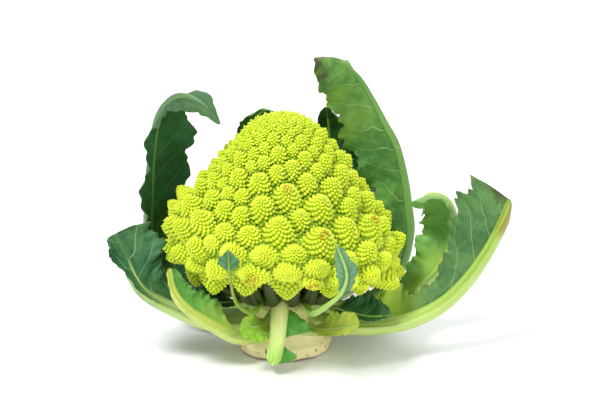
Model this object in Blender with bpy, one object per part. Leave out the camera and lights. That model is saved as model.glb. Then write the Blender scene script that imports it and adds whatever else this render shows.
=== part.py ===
"""A romanesco head in its wrapper leaves, standing on its cut stem.

The script is in metres, with +Z up. The origin is the middle of the stem's cut face, +X runs along the
leaves' widest spread, and -Y is the front. The florets stand on a golden-angle spiral that runs down a dome,
and the buds of each floret stand on a smaller spiral of the same kind.
"""

import math

import bmesh
import bpy
import numpy as np
from mathutils import Vector
from mathutils.geometry import delaunay_2d_cdt

GOLDEN_ANGLE = math.pi * (3.0 - math.sqrt(5.0))
TOUCH_GAP = 0.0003
TINY = 1e-9
LINE_STEPS = 12
LIST_STEPS = 8
SMOOTH_UNDER = math.radians(35.0)

# The curd's dome: the line that the florets' tips follow, from the crown down, as (radius, height)
HEAD_LINE = [
    (0.0, 0.1530),
    (0.0150, 0.1495),
    (0.0290, 0.1385),
    (0.0430, 0.1215),
    (0.0575, 0.1035),
    (0.0715, 0.0880),
    (0.0758, 0.0700),
    (0.0738, 0.0555),
    (0.0660, 0.0465),
    (0.0550, 0.0435),
]
HEAD_TOP = HEAD_LINE[0][1]
HEAD_RADIUS = 0.0755

# How the real head leans: its shoulder is lower on the right and higher on the left, its rim less so, and
# its rim rises at the front
LEAN_DROP = 0.014
LEAN_FULL_BELOW = 0.0765
LEAN_AT_RIM = 0.3
RIM_HEIGHT = 0.045
RIM_BLEND = 0.040
FRONT_RISE = 0.014
CROWN_SHIFT = -0.001
MIDDLE_SHIFT = 0.0022

# Florets: their radius grows from the crown to the rim, more so towards the front right. They turn up.
FLORET_SMALLEST = 0.0010
FLORET_GROWTH = 0.092
RIM_FLORET_RADIUS = 0.0130
FLORET_OVERLAP = 1.14
FLORET_HEIGHT = 1.36
FLORET_LIFT = math.radians(20.0)
MOST_LIFT_AT = math.radians(25.0)
LIFT_GROWS_OVER = 0.0200
SIZE_SPREAD = 0.34
SIZE_LEANS_BY = 0.42
SIZE_LEANS_TO = math.radians(-50.0)
LEANING_GROWS_OVER = 0.045
STAND_OUT = 0.9
HEX_PACKING = 2.0 * math.sqrt(3.0) / (2.0 * math.pi)
FIRST_TURN = math.sqrt(2.0 * HEX_PACKING)
LAST_FLORET_SHARE = 0.985
SPACING_ROUNDS = 60
SPACING_STEP = 0.25
SPACING = 0.95
LIMIT_SHARPNESS = 4.0
SLOPE_STEP = 0.003
FLORET_SEED = 9

# Buds on a floret: a spiral from near its tip to its foot
FLANK_POWER = 0.74
PLAIN_BELOW = 0.0040
FEWEST_BUDS = 4
MOST_BUDS = 12
FIRST_BUD = 0.30
BUDS_GROW_BY = 1.5
BUD_CLEARANCE = 0.42
BUD_RISE = 0.10
VALLEY_DEPTH = 0.06

# The core that the florets grow from, and the flat that it rests on the stalk with
MOST_DEPTH = 0.0132
UNDERSIDE_MAP = 1.6
CORE_SIDES = 32
CORE_FLAT_RADIUS = 0.030
CORE_FLAT_HEIGHT = 0.0575

# The stalk: its outline from the cut face to the branches under the curd, as (radius, height)
STEM_LINE = [
    (0.0270, 0.0),
    (0.0292, 0.0016),
    (0.0290, 0.0070),
    (0.0262, 0.0110),
    (0.0240, 0.0200),
    (0.0215, 0.0300),
    (0.0200, 0.0380),
    (0.0225, 0.0450),
    (0.0300, 0.0515),
]
STEM_TOP_RADIUS = 0.027
STEM_SIDES = 24
BRANCH_COUNT = 8
BRANCH_DEPTH = 0.10
BRANCH_FROM = 0.036

# Leaf sheets: their folds take FOLD_STEPS strips a side, one on a half that stays narrow. Their margins are
# lobed all along, and wave fully where they pass the rib by WAVES_FROM. The rib's outline runs across it.
BLADE_THICKNESS = 0.0010
BARE_STATIONS = 2
FOLD_STEPS = 2
NARROW_HALF = 0.010
RIB_TAPER = 0.8
MARGIN_LOBES = 0.09
LOBES_PER_WAVE = 1.3
WAVES_FROM = 0.012
LEFT_LOBES_AT = 0.0
RIGHT_LOBES_AT = 0.31
LEFT_WAVES_AT = -0.30
RIGHT_WAVES_AT = 0.30
WAVE_POWER = 1.5
MOST_FLAT = 0.8
RIB_STEP = 0.0015
RIB_SIDES_ACROSS = (1.0, 0.72, 0.0, -0.72, -1.0)
RIB_SIDES_DOWN = (0.0, 0.68, 1.0, 0.68, 0.0)

COLOURS = {
    "curd": (0.62, 0.78, 0.05),
    "stem": (0.72, 0.76, 0.42),
    "rib": (0.47, 0.66, 0.20),
    "blade": (0.07, 0.20, 0.05),
}
ROUGHNESS = {"curd": 0.62, "stem": 0.50, "rib": 0.42, "blade": 0.48}

# Leaves. rib: the rib's line from the stem to the tip. face: where the inner face looks, from base to tip.
# left and right: the blade's half widths, from where it starts to the tip, seen from the inner face.
# fold and curl: how far each half turns up at the rib, and how much more by its margin, in degrees.
# blade and rib_end: the shares of the line where the blade starts and where the rib runs out.
# stalk: the rib's width and depth at the stem and at its end. wave: the margin's waves, as (height, count).
# stations: cross-sections along the blade. bare, where given: cross-sections along the stalk below it.
# sweep, where given: how far the blade's cross-sections reach forwards, as a share of their width.
LEAVES = {
    "right": {
        "rib": [
            (0.017, -0.010, 0.0262), (0.041, -0.020, 0.0245), (0.060, -0.024, 0.0255),
            (0.0785, -0.024, 0.0290), (0.097, -0.022, 0.0380), (0.112, -0.020, 0.0525),
            (0.124, -0.018, 0.0700), (0.133, -0.015, 0.0870), (0.1390, -0.012, 0.1010),
        ],
        "face": [(-0.1, -0.1, 1.0), (-0.4, -0.25, 0.95), (-0.75, -0.35, 0.6), (-0.80, -0.55, 0.3)],
        "left": (0.010, 0.025, 0.017, 0.015, 0.019, 0.027, 0.031, 0.029, 0.025),
        "right": (0.003, 0.003, 0.003, 0.003, 0.003, 0.003, 0.003, 0.003, 0.003),
        "fold": (38.0, 35.0),
        "curl": (16.0, 10.0),
        "blade": 0.18,
        "rib_end": 1.0,
        "stalk": ((0.0155, 0.0100), (0.0075, 0.0055)),
        "wave": (0.0030, 5.0),
        "stations": 17,
        "sweep": 0.45,
    },
    "tall_right": {
        "rib": [
            (0.017, 0.011, 0.0172), (0.045, 0.030, 0.0180), (0.070, 0.042, 0.0340),
            (0.079, 0.045, 0.0600), (0.0780, 0.046, 0.0810), (0.0750, 0.046, 0.1020),
            (0.070, 0.043, 0.1220), (0.063, 0.040, 0.1360), (0.0545, 0.036, 0.1530),
            (0.0455, 0.028, 0.1690), (0.034, 0.016, 0.1805), (0.019, 0.001, 0.1840),
        ],
        "face": [
            (-0.1, -0.1, 1.0), (-0.8, -0.1, 0.6), (-1.0, 0.10, 0.1), (-0.95, 0.25, -0.2),
            (-0.5, 0.6, -0.7),
        ],
        "left": (0.006, 0.018, 0.026, 0.028, 0.027, 0.022, 0.014, 0.008, 0.006),
        "right": (0.006, 0.012, 0.018, 0.025, 0.029, 0.027, 0.024, 0.021, 0.012),
        "fold": (22.0, 58.0),
        "curl": (20.0, 8.0),
        "blade": 0.24,
        "rib_end": 0.88,
        "stalk": ((0.0130, 0.0090), (0.0024, 0.0018)),
        "wave": (0.0026, 5.0),
        "stations": 17,
    },
    "tall_left": {
        "rib": [
            (-0.018, 0.008, 0.0300), (-0.048, 0.017, 0.0220), (-0.074, 0.022, 0.0370),
            (-0.0845, 0.023, 0.0660), (-0.0840, 0.023, 0.0960), (-0.0820, 0.021, 0.1220),
            (-0.0770, 0.016, 0.1460), (-0.0650, 0.008, 0.1600), (-0.0500, 0.000, 0.1580),
            (-0.039, -0.006, 0.1470),
        ],
        "face": [
            (0.1, 0.0, 1.0), (0.8, -0.3, 0.5), (0.85, -0.50, 0.0), (0.75, -0.45, -0.3),
            (-0.1, 0.75, -0.7),
        ],
        "left": (0.005, 0.012, 0.016, 0.017, 0.016, 0.013, 0.012, 0.011, 0.004),
        "right": (0.006, 0.019, 0.024, 0.026, 0.028, 0.027, 0.019, 0.012, 0.004),
        "fold": (14.0, 4.0),
        "curl": (10.0, 21.0),
        "blade": 0.24,
        "rib_end": 0.90,
        "stalk": ((0.0130, 0.0090), (0.0034, 0.0026)),
        "wave": (0.0028, 5.0),
        "stations": 17,
    },
    "left": {
        "rib": [
            (-0.018, -0.008, 0.0225), (-0.044, -0.021, 0.0265), (-0.064, -0.028, 0.0355),
            (-0.0825, -0.031, 0.0465), (-0.0905, -0.031, 0.0575), (-0.0965, -0.026, 0.0690),
            (-0.104, -0.020, 0.0810),
        ],
        "face": [(0.1, -0.1, 1.0), (0.4, -0.3, 0.9), (0.7, -0.45, 0.6), (0.6, -0.7, 0.4)],
        "left": (0.003, 0.003, 0.003, 0.004, 0.009, 0.016, 0.008),
        "right": (0.006, 0.016, 0.020, 0.018, 0.021, 0.025, 0.014),
        "fold": (20.0, 24.0),
        "curl": (6.0, 14.0),
        "blade": 0.26,
        "rib_end": 0.80,
        "stalk": ((0.0150, 0.0100), (0.0080, 0.0056)),
        "wave": (0.0022, 4.0),
        "stations": 13,
        "sweep": 0.20,
    },
    "front_left": {
        "rib": [
            (-0.010, -0.019, 0.0185), (-0.027, -0.037, 0.0215), (-0.043, -0.043, 0.0310),
            (-0.057, -0.0455, 0.0415), (-0.0655, -0.0445, 0.0525), (-0.069, -0.040, 0.0650),
        ],
        "face": [(0.0, 0.0, 1.0), (0.4, -0.3, 0.8), (0.7, -0.4, 0.6), (0.6, -0.7, 0.3)],
        "left": (0.003, 0.003, 0.003, 0.003, 0.003, 0.003),
        "right": (0.005, 0.013, 0.016, 0.0125, 0.0085, 0.006),
        "fold": (30.0, 26.0),
        "curl": (5.0, 6.0),
        "blade": 0.34,
        "rib_end": 0.84,
        "stalk": ((0.0110, 0.0080), (0.0055, 0.0040)),
        "wave": (0.0012, 3.0),
        "stations": 10,
    },
    "front": {
        "rib": [
            (-0.001, -0.016, 0.0375), (-0.002, -0.034, 0.0385), (-0.003, -0.044, 0.0310),
            (-0.0045, -0.0475, 0.0190), (-0.007, -0.0465, 0.0060),
        ],
        "face": [(0.0, 0.1, -1.0), (0.0, 0.7, -0.7), (-0.05, 1.0, -0.1), (-0.05, 1.0, 0.1)],
        "left": (0.005, 0.005, 0.005, 0.005, 0.005, 0.005, 0.003),
        "right": (0.006, 0.016, 0.019, 0.006, 0.006, 0.014, 0.006),
        "fold": (8.0, 16.0),
        "curl": (0.0, -12.0),
        "blade": 0.36,
        "rib_end": 1.0,
        "stalk": ((0.0120, 0.0080), (0.0095, 0.0060)),
        "wave": (0.0010, 2.0),
        "stations": 10,
    },
    "front_right": {
        "rib": [
            (0.011, -0.017, 0.0210), (0.022, -0.036, 0.0250), (0.033, -0.045, 0.0290),
            (0.046, -0.049, 0.0335),
        ],
        "face": [(0.0, -0.2, 1.0), (0.0, -0.6, 0.8), (0.0, -0.8, 0.6)],
        "left": (0.004, 0.008, 0.010, 0.009, 0.006),
        "right": (0.003, 0.005, 0.006, 0.005, 0.003),
        "fold": (22.0, 10.0),
        "curl": (10.0, 5.0),
        "blade": 0.30,
        "rib_end": 0.80,
        "stalk": ((0.0100, 0.0065), (0.0040, 0.0030)),
        "wave": (0.0012, 2.0),
        "stations": 8,
    },
    "right_curled": {
        "rib": [
            (0.019, 0.004, 0.0330), (0.048, 0.012, 0.0240), (0.074, 0.014, 0.0290),
            (0.0905, 0.016, 0.0390), (0.101, 0.018, 0.0520), (0.107, 0.020, 0.0660),
            (0.108, 0.020, 0.0780), (0.103, 0.018, 0.0900), (0.092, 0.013, 0.0960),
            (0.080, 0.007, 0.0935),
        ],
        "face": [
            (0.0, 0.0, 1.0), (-0.6, -0.2, 0.8), (-0.9, -0.35, 0.2), (-0.7, -0.6, -0.4),
            (0.1, -0.5, -0.9),
        ],
        "left": (0.006, 0.014, 0.020, 0.022, 0.021, 0.016, 0.008),
        "right": (0.005, 0.008, 0.010, 0.013, 0.013, 0.009, 0.005),
        "fold": (26.0, 30.0),
        "curl": (12.0, 20.0),
        "blade": 0.30,
        "rib_end": 0.88,
        "stalk": ((0.0120, 0.0085), (0.0036, 0.0028)),
        "wave": (0.0024, 4.0),
        "stations": 14,
    },
    "back_right": {
        "rib": [
            (0.006, 0.018, 0.0320), (0.016, 0.050, 0.0290), (0.026, 0.079, 0.0480),
            (0.031, 0.086, 0.0780), (0.031, 0.081, 0.1060), (0.029, 0.072, 0.1280),
            (0.027, 0.061, 0.1430),
        ],
        "face": [(0.0, -0.1, 1.0), (-0.1, -0.8, 0.5), (-0.2, -1.0, 0.0), (-0.2, -0.9, -0.3)],
        "left": (0.006, 0.024, 0.030, 0.028, 0.020, 0.012, 0.003),
        "right": (0.006, 0.024, 0.032, 0.034, 0.030, 0.019, 0.004),
        "fold": (12.0, 10.0),
        "curl": (14.0, 12.0),
        "blade": 0.26,
        "rib_end": 0.88,
        "stalk": ((0.0120, 0.0085), (0.0034, 0.0026)),
        "wave": (0.0028, 4.0),
        "stations": 12,
    },
    "back_left": {
        "rib": [
            (-0.009, 0.017, 0.0320), (-0.022, 0.052, 0.0290), (-0.031, 0.079, 0.0480),
            (-0.033, 0.083, 0.0800), (-0.029, 0.075, 0.1080), (-0.022, 0.066, 0.1300),
            (-0.014, 0.054, 0.1420), (-0.004, 0.043, 0.1430),
        ],
        "face": [(0.0, -0.1, 1.0), (0.1, -0.8, 0.5), (0.3, -1.0, 0.0), (0.2, -0.7, -0.7)],
        "left": (0.006, 0.020, 0.024, 0.016, 0.010, 0.008, 0.003),
        "right": (0.006, 0.020, 0.024, 0.022, 0.018, 0.012, 0.003),
        "fold": (12.0, 10.0),
        "curl": (12.0, 14.0),
        "blade": 0.26,
        "rib_end": 0.88,
        "stalk": ((0.0120, 0.0085), (0.0034, 0.0026)),
        "wave": (0.0026, 4.0),
        "stations": 12,
    },
    "back": {
        "rib": [
            (-0.001, 0.020, 0.0170), (0.001, 0.052, 0.0125), (0.003, 0.080, 0.0200),
            (0.004, 0.099, 0.0420), (0.004, 0.107, 0.0680), (0.003, 0.106, 0.0860),
        ],
        "face": [(0.0, 0.1, 1.0), (0.0, -0.5, 0.9), (0.0, -1.0, 0.3), (0.0, -1.0, 0.0)],
        "left": (0.006, 0.020, 0.029, 0.030, 0.022, 0.004),
        "right": (0.006, 0.020, 0.028, 0.031, 0.020, 0.004),
        "fold": (20.0, 20.0),
        "curl": (10.0, 10.0),
        "blade": 0.30,
        "rib_end": 0.86,
        "stalk": ((0.0150, 0.0105), (0.0060, 0.0040)),
        "wave": (0.0028, 4.0),
        "stations": 10,
    },
    "low_back_left": {
        "rib": [
            (-0.015, 0.014, 0.0155), (-0.042, 0.036, 0.0120), (-0.064, 0.053, 0.0220),
            (-0.080, 0.062, 0.0420), (-0.083, 0.062, 0.0580),
        ],
        "face": [(0.0, 0.0, 1.0), (0.5, -0.4, 0.9), (0.8, -0.6, 0.2)],
        "left": (0.005, 0.018, 0.024, 0.020, 0.004),
        "right": (0.005, 0.016, 0.022, 0.018, 0.004),
        "fold": (20.0, 20.0),
        "curl": (10.0, 10.0),
        "blade": 0.34,
        "rib_end": 0.86,
        "stalk": ((0.0140, 0.0100), (0.0060, 0.0040)),
        "wave": (0.0024, 3.0),
        "stations": 9,
    },
    "low_back_right": {
        "rib": [
            (0.0145, 0.0125, 0.0340), (0.039, 0.045, 0.0230), (0.057, 0.069, 0.0300),
            (0.070, 0.081, 0.0480), (0.072, 0.082, 0.0640),
        ],
        "face": [(0.0, 0.0, 1.0), (-0.5, -0.5, 0.9), (-0.7, -0.7, 0.2)],
        "left": (0.005, 0.016, 0.020, 0.018, 0.004),
        "right": (0.005, 0.016, 0.022, 0.018, 0.004),
        "fold": (20.0, 20.0),
        "curl": (10.0, 10.0),
        "blade": 0.34,
        "rib_end": 0.86,
        "stalk": ((0.0090, 0.0075), (0.0055, 0.0038)),
        "wave": (0.0024, 3.0),
        "stations": 9,
    },
    "inner_right": {
        "rib": [
            (0.015, -0.012, 0.0370), (0.034, -0.026, 0.0340), (0.052, -0.036, 0.0330),
            (0.066, -0.041, 0.0355),
        ],
        "face": [(0.0, 0.0, 1.0), (0.0, -0.3, 1.0), (-0.1, -0.3, 1.0)],
        "left": (0.005, 0.013, 0.016, 0.012, 0.003),
        "right": (0.004, 0.006, 0.007, 0.005, 0.003),
        "fold": (24.0, 10.0),
        "curl": (16.0, 5.0),
        "blade": 0.35,
        "rib_end": 0.85,
        "stalk": ((0.0075, 0.0055), (0.0030, 0.0022)),
        "wave": (0.0008, 2.0),
        "stations": 7,
    },
    "inner_left": {
        "rib": [
            (-0.016, -0.010, 0.0360), (-0.036, -0.023, 0.0375), (-0.052, -0.031, 0.0405),
            (-0.063, -0.034, 0.0455),
        ],
        "face": [(0.0, 0.0, 1.0), (0.1, -0.3, 1.0), (0.2, -0.3, 1.0)],
        "left": (0.004, 0.007, 0.007, 0.005, 0.003),
        "right": (0.005, 0.012, 0.0125, 0.0085, 0.003),
        "fold": (10.0, 22.0),
        "curl": (5.0, 14.0),
        "blade": 0.35,
        "rib_end": 0.85,
        "stalk": ((0.0070, 0.0050), (0.0030, 0.0022)),
        "wave": (0.0008, 2.0),
        "stations": 7,
    },
    "small_front": {
        "rib": [
            (-0.006, -0.021, 0.0310), (-0.013, -0.038, 0.0290), (-0.020, -0.048, 0.0310),
            (-0.0245, -0.053, 0.0370),
        ],
        "face": [(0.1, -0.3, 0.9), (0.2, -0.8, 0.6), (0.2, -0.9, 0.4)],
        "left": (0.003, 0.007, 0.0095, 0.009, 0.004),
        "right": (0.003, 0.007, 0.0095, 0.009, 0.004),
        "fold": (12.0, 12.0),
        "curl": (5.0, 5.0),
        "blade": 0.36,
        "rib_end": 0.80,
        "stalk": ((0.0065, 0.0045), (0.0028, 0.0020)),
        "wave": (0.0012, 2.0),
        "stations": 7,
    },
    "bract_left": {
        "rib": [
            (-0.0095, -0.0165, 0.0390), (-0.0140, -0.040, 0.0430), (-0.0190, -0.060, 0.0450),
            (-0.0270, -0.074, 0.0550), (-0.0300, -0.0815, 0.0700), (-0.0315, -0.0815, 0.0900),
        ],
        "face": [(0.2, -0.3, 0.9), (0.0, 0.4, 0.9), (0.0, 1.0, 0.2), (0.1, 1.0, 0.0)],
        "left": (0.002, 0.005, 0.0060, 0.004, 0.0015),
        "right": (0.002, 0.005, 0.0065, 0.004, 0.0015),
        "fold": (-12.0, -12.0),
        "curl": (0.0, 0.0),
        "blade": 0.88,
        "rib_end": 0.95,
        "stalk": ((0.0036, 0.0028), (0.0014, 0.0012)),
        "wave": (0.0008, 2.0),
        "stations": 7,
        "bare": 6,
    },
    "bract_right": {
        "rib": [
            (0.0090, -0.0170, 0.0390), (0.0130, -0.040, 0.0430), (0.0180, -0.060, 0.0450),
            (0.0260, -0.074, 0.0540), (0.0340, -0.0810, 0.0640), (0.0370, -0.0815, 0.0760),
            (0.0310, -0.0800, 0.0925),
        ],
        "face": [(-0.2, -0.3, 0.9), (0.0, 0.4, 0.9), (0.0, 1.0, 0.2), (-0.1, 1.0, 0.0)],
        "left": (0.002, 0.0050, 0.0060, 0.004, 0.0012),
        "right": (0.002, 0.0050, 0.0062, 0.004, 0.0012),
        "fold": (-14.0, -14.0),
        "curl": (0.0, 0.0),
        "blade": 0.72,
        "rib_end": 0.95,
        "stalk": ((0.0052, 0.0040), (0.0016, 0.0013)),
        "wave": (0.0006, 2.0),
        "stations": 8,
        "bare": 6,
    },
}


def clear_scene():
    for obj in list(bpy.data.objects):
        bpy.data.objects.remove(obj, do_unlink=True)


def material(kind):
    """The finish of one kind of piece, made the first time that it is asked for."""
    found = bpy.data.materials.get(kind)
    if found is None:
        found = bpy.data.materials.new(kind)
        found.use_nodes = True
        shader = found.node_tree.nodes["Principled BSDF"]
        shader.inputs["Base Color"].default_value = (*COLOURS[kind], 1.0)
        shader.inputs["Roughness"].default_value = ROUGHNESS[kind]
        shader.inputs["Metallic"].default_value = 0.0
    return found


def solid(name, kind, points, faces, smooth=False):
    """A named object from points and faces, with every face looking outwards."""
    mesh = bpy.data.meshes.new(name)
    mesh.from_pydata([tuple(p) for p in points], [], [tuple(f) for f in faces])
    mesh.materials.append(material(kind))
    work = bmesh.new()
    work.from_mesh(mesh)
    bmesh.ops.recalc_face_normals(work, faces=work.faces)
    work.to_mesh(mesh)
    work.free()
    if smooth:
        mesh.shade_smooth()
        mesh.set_sharp_from_angle(angle=SMOOTH_UNDER)
    obj = bpy.data.objects.new(name, mesh)
    bpy.context.scene.collection.objects.link(obj)
    return obj


def line_through(points, steps=LINE_STEPS):
    """A smooth line through the points, and how far along it each of its own points is."""
    p = np.array(points, float)
    p = np.vstack([2 * p[0] - p[1], p, 2 * p[-1] - p[-2]])
    rows = []
    for i in range(1, len(p) - 2):
        a, b, c, d = p[i - 1 : i + 3]
        for t in np.arange(steps) / steps:
            bend = (2 * a - 5 * b + 4 * c - d) * t**2 + (3 * (b - c) + d - a) * t**3
            rows.append(0.5 * (2 * b + (c - a) * t + bend))
    rows.append(p[-2])
    line = np.array(rows)
    along = np.concatenate([[0.0], np.cumsum(np.linalg.norm(np.diff(line, axis=0), axis=1))])
    return line, along


def on_line(line, along, distance):
    return np.array([np.interp(distance, along, line[:, axis]) for axis in range(line.shape[1])])


def unit(vector):
    return vector / np.linalg.norm(vector)


def lean(point):
    """Moves a point of an upright dome to where the real head's is."""
    x, y, z = point
    low = min(1.0, max(0.0, (HEAD_TOP - z) / LEAN_FULL_BELOW))
    above_rim = min(1.0, max(0.0, (z - RIM_HEIGHT) / RIM_BLEND))
    drop = LEAN_DROP * low * (LEAN_AT_RIM + (1.0 - LEAN_AT_RIM) * above_rim)
    rise = FRONT_RISE * (1.0 - above_rim) * max(0.0, -y / HEAD_RADIUS) ** 2
    shift = CROWN_SHIFT * (1.0 - low) + MIDDLE_SHIFT * 4.0 * low * (1.0 - low)
    return np.array([x + shift, y, z - drop * x / HEAD_RADIUS + rise])


def limited(value, most):
    """The value while it is small, running smoothly into the most that it may be."""
    return (value**-LIMIT_SHARPNESS + most**-LIMIT_SHARPNESS) ** (-1.0 / LIMIT_SHARPNESS)


def floret_radius(distance):
    return limited(FLORET_SMALLEST + FLORET_GROWTH * distance, RIM_FLORET_RADIUS)


class Dome:
    """The surface that the florets' tips lie on, and the flat map of it that the pattern is drawn on.

    The map keeps angles: its polar angle is the azimuth, and its radius grows with the distance from the
    crown at the rate of the dome's own ring.
    """

    def __init__(self):
        self.line, self.along = line_through(HEAD_LINE)
        ring = np.maximum(self.line[:, 0], TINY)
        growth = 0.5 * (1.0 / ring[2:] + 1.0 / ring[1:-1]) * np.diff(self.along[1:])
        grown = np.exp(np.concatenate([[0.0], np.cumsum(growth)]))
        self.map_radius = np.concatenate([[0.0], ring[1] * grown])
        self.length = self.along[-1]

    def ring(self, distance):
        return float(np.interp(distance, self.along, self.line[:, 0]))

    def on_map(self, distance, azimuth):
        radius = float(np.interp(distance, self.along, self.map_radius))
        return radius * np.array([math.cos(azimuth), math.sin(azimuth)])

    def map_scale(self, distance):
        """How many map metres one metre along the dome takes."""
        near = max(distance, self.along[2])
        return float(np.interp(near, self.along, self.map_radius)) / self.ring(near)

    def surface(self, place):
        """The point over a place on the map, and the direction that a floret there grows in."""
        distance = float(np.interp(math.hypot(*place), self.map_radius, self.along))
        outwards = np.array([*place, 0.0]) / max(math.hypot(*place), TINY)
        ring, height = on_line(self.line, self.along, distance)
        before = on_line(self.line, self.along, max(distance - SLOPE_STEP, 0.0))
        after = on_line(self.line, self.along, min(distance + SLOPE_STEP, self.length))
        down = unit(after - before)
        tilt = math.atan2(down[0], -down[1])
        tilt += FLORET_LIFT * min(1.0, distance / LIFT_GROWS_OVER) * math.cos(tilt - MOST_LIFT_AT) ** 2
        axis = math.cos(tilt) * outwards + math.sin(tilt) * np.array([0.0, 0.0, 1.0])
        return lean(ring * outwards + (0.0, 0.0, height)), axis


def floret_sites(dome):
    """Each floret's place on the map, tip, radius and how far it stands out: one at every golden angle."""
    rng = np.random.default_rng(FLORET_SEED)
    places, radii, stands_out = [dome.on_map(0.0, 0.0)], [FLORET_SMALLEST], [0.0]
    distance = FIRST_TURN * FLORET_SMALLEST
    while distance < LAST_FLORET_SHARE * dome.length:
        azimuth = len(places) * GOLDEN_ANGLE
        plain = floret_radius(distance)
        leaning = SIZE_LEANS_BY * min(1.0, distance / LEANING_GROWS_OVER) * math.cos(azimuth - SIZE_LEANS_TO)
        uneven = SIZE_SPREAD * rng.uniform(-1.0, 1.0)
        places.append(dome.on_map(distance, azimuth))
        radii.append(plain * (1.0 + leaning + uneven))
        stands_out.append(STAND_OUT * plain * uneven)
        distance += HEX_PACKING * plain**2 / dome.ring(distance)
    places = spaced(dome, np.array(places), np.array(radii))
    tips = [dome.surface(place)[0] for place in places]
    return list(zip(places, tips, radii, stands_out))


def spaced(dome, places, radii):
    """The places after the florets have pushed each other apart on the map, each as far as its size needs."""
    edge = np.interp(LAST_FLORET_SHARE * dome.length, dome.along, dome.map_radius)
    for _ in range(SPACING_ROUNDS):
        from_crown = np.interp(np.linalg.norm(places, axis=1), dome.map_radius, dome.along)
        room = SPACING * radii * np.array([dome.map_scale(distance) for distance in from_crown])
        apart = places[:, None] - places[None]
        distance = np.linalg.norm(apart, axis=2) + np.eye(len(places))
        overlap = np.maximum(room[:, None] + room[None] - distance, 0.0) * (1.0 - np.eye(len(places)))
        moves = SPACING_STEP * (apart * (overlap / distance)[..., None]).sum(axis=1)
        places[1:] += moves[1:]
        places *= np.minimum(1.0, edge / np.maximum(np.linalg.norm(places, axis=1), TINY))[:, None]
    return places


def nearest_floret(sites, point):
    """Which floret a point of the dome belongs to, and how far out it is as a share of its reach."""
    tips = np.array([site[1] for site in sites])
    radii = np.array([site[2] for site in sites])
    shares = np.linalg.norm(tips - point, axis=1) / (FLORET_OVERLAP * radii)
    owner = int(np.argmin(shares))
    return owner, float(shares[owner])


def bud_count(radius):
    """How many buds a floret has besides the one on its tip: none on the small ones around the crown."""
    if radius <= PLAIN_BELOW:
        return 0
    grown = min(1.0, radius / RIM_FLORET_RADIUS)
    return round(FEWEST_BUDS + (MOST_BUDS - FEWEST_BUDS) * grown**BUDS_GROW_BY)


def bud_places(dome, sites):
    """The map's place of every bud that shows: each floret's spiral, up to where the next floret starts."""
    wanted = []
    for index, (place, _, radius, _) in enumerate(sites):
        buds = bud_count(radius)
        distance = float(np.interp(math.hypot(*place), dome.map_radius, dome.along))
        reach = FLORET_OVERLAP * radius
        wanted.append((0.0, index, place, 0.0))
        for n in range(buds):
            share = FIRST_BUD ** (1.0 - n / (buds - 1.0))
            turn = (n + index) * GOLDEN_ANGLE
            offset = share * reach * dome.map_scale(distance) * np.array([math.cos(turn), math.sin(turn)])
            wanted.append((share, index, place + offset, BUD_CLEARANCE * share * reach))
    wanted.sort(key=lambda bud: (bud[0], bud[1]))
    places, points = [], []
    for share, index, place, clearance in wanted:
        point = dome.surface(place)[0]
        beyond = math.hypot(*place) > dome.map_radius[-1]
        if beyond or nearest_floret(sites, point)[0] != index:
            continue
        if points and np.linalg.norm(np.array(points) - point, axis=1).min() < clearance:
            continue
        places.append(place)
        points.append(point)
    return places


def raised(dome, sites, place, rise):
    """The curd's surface over a place on the map, moved out from the flank by a share of its size there."""
    point, axis = dome.surface(place)
    owner, share = nearest_floret(sites, point)
    if share == 0.0:
        return point + sites[owner][3] * axis
    _, tip, radius, stands_out = sites[owner]
    reach = FLORET_OVERLAP * radius
    height = FLORET_HEIGHT * reach
    deep = limited(share ** (1.0 / FLANK_POWER), MOST_DEPTH / height)
    steep = math.atan2(reach, height)
    away = point - tip
    away = unit(away - np.dot(away, axis) * axis)
    out = math.cos(steep) * away + math.sin(steep) * axis
    return point + (stands_out * (1.0 - deep) - deep * height) * axis + rise * reach * share * out


def curd_pattern(dome, sites):
    """The places of the buds on the map, then a ring of places for the flat, and how many are buds."""
    buds = bud_places(dome, sites)
    reach = UNDERSIDE_MAP * dome.map_radius[-1]
    turns = [2.0 * math.pi * k / CORE_SIDES for k in range(CORE_SIDES)]
    return buds + [reach * np.array([math.cos(a), math.sin(a)]) for a in turns], len(buds)


def make_curd():
    """One closed surface: a peak on every bud, a valley amid every three, and a flat over the stalk."""
    dome = Dome()
    sites = floret_sites(dome)
    pattern, buds = curd_pattern(dome, sites)
    points = [raised(dome, sites, place, BUD_RISE) for place in pattern[:buds]]
    for place in pattern[buds:]:
        points.append(np.array([*(CORE_FLAT_RADIUS * unit(place)), CORE_FLAT_HEIGHT]))
    beside = {}
    for corners in delaunay_2d_cdt([Vector(place) for place in pattern], [], [], 0, TINY)[2]:
        for a, b in zip(corners, corners[1:] + corners[:1]):
            beside.setdefault((min(a, b), max(a, b)), []).append(len(points))
        if max(corners) < buds:
            points.append(raised(dome, sites, sum(pattern[c] for c in corners) / 3.0, -VALLEY_DEPTH))
        else:
            points.append(sum(points[c] for c in corners) / 3.0)
    centre = len(points)
    points.append(np.array([0.0, 0.0, CORE_FLAT_HEIGHT]))
    faces = []
    for (a, b), valleys in beside.items():
        if len(valleys) == 2:
            faces += [(a, *valleys), (b, *valleys[::-1])]
        else:
            faces += [(a, b, valleys[0]), (a, centre, b)]
    return solid("curd", "curd", points, faces)


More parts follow.
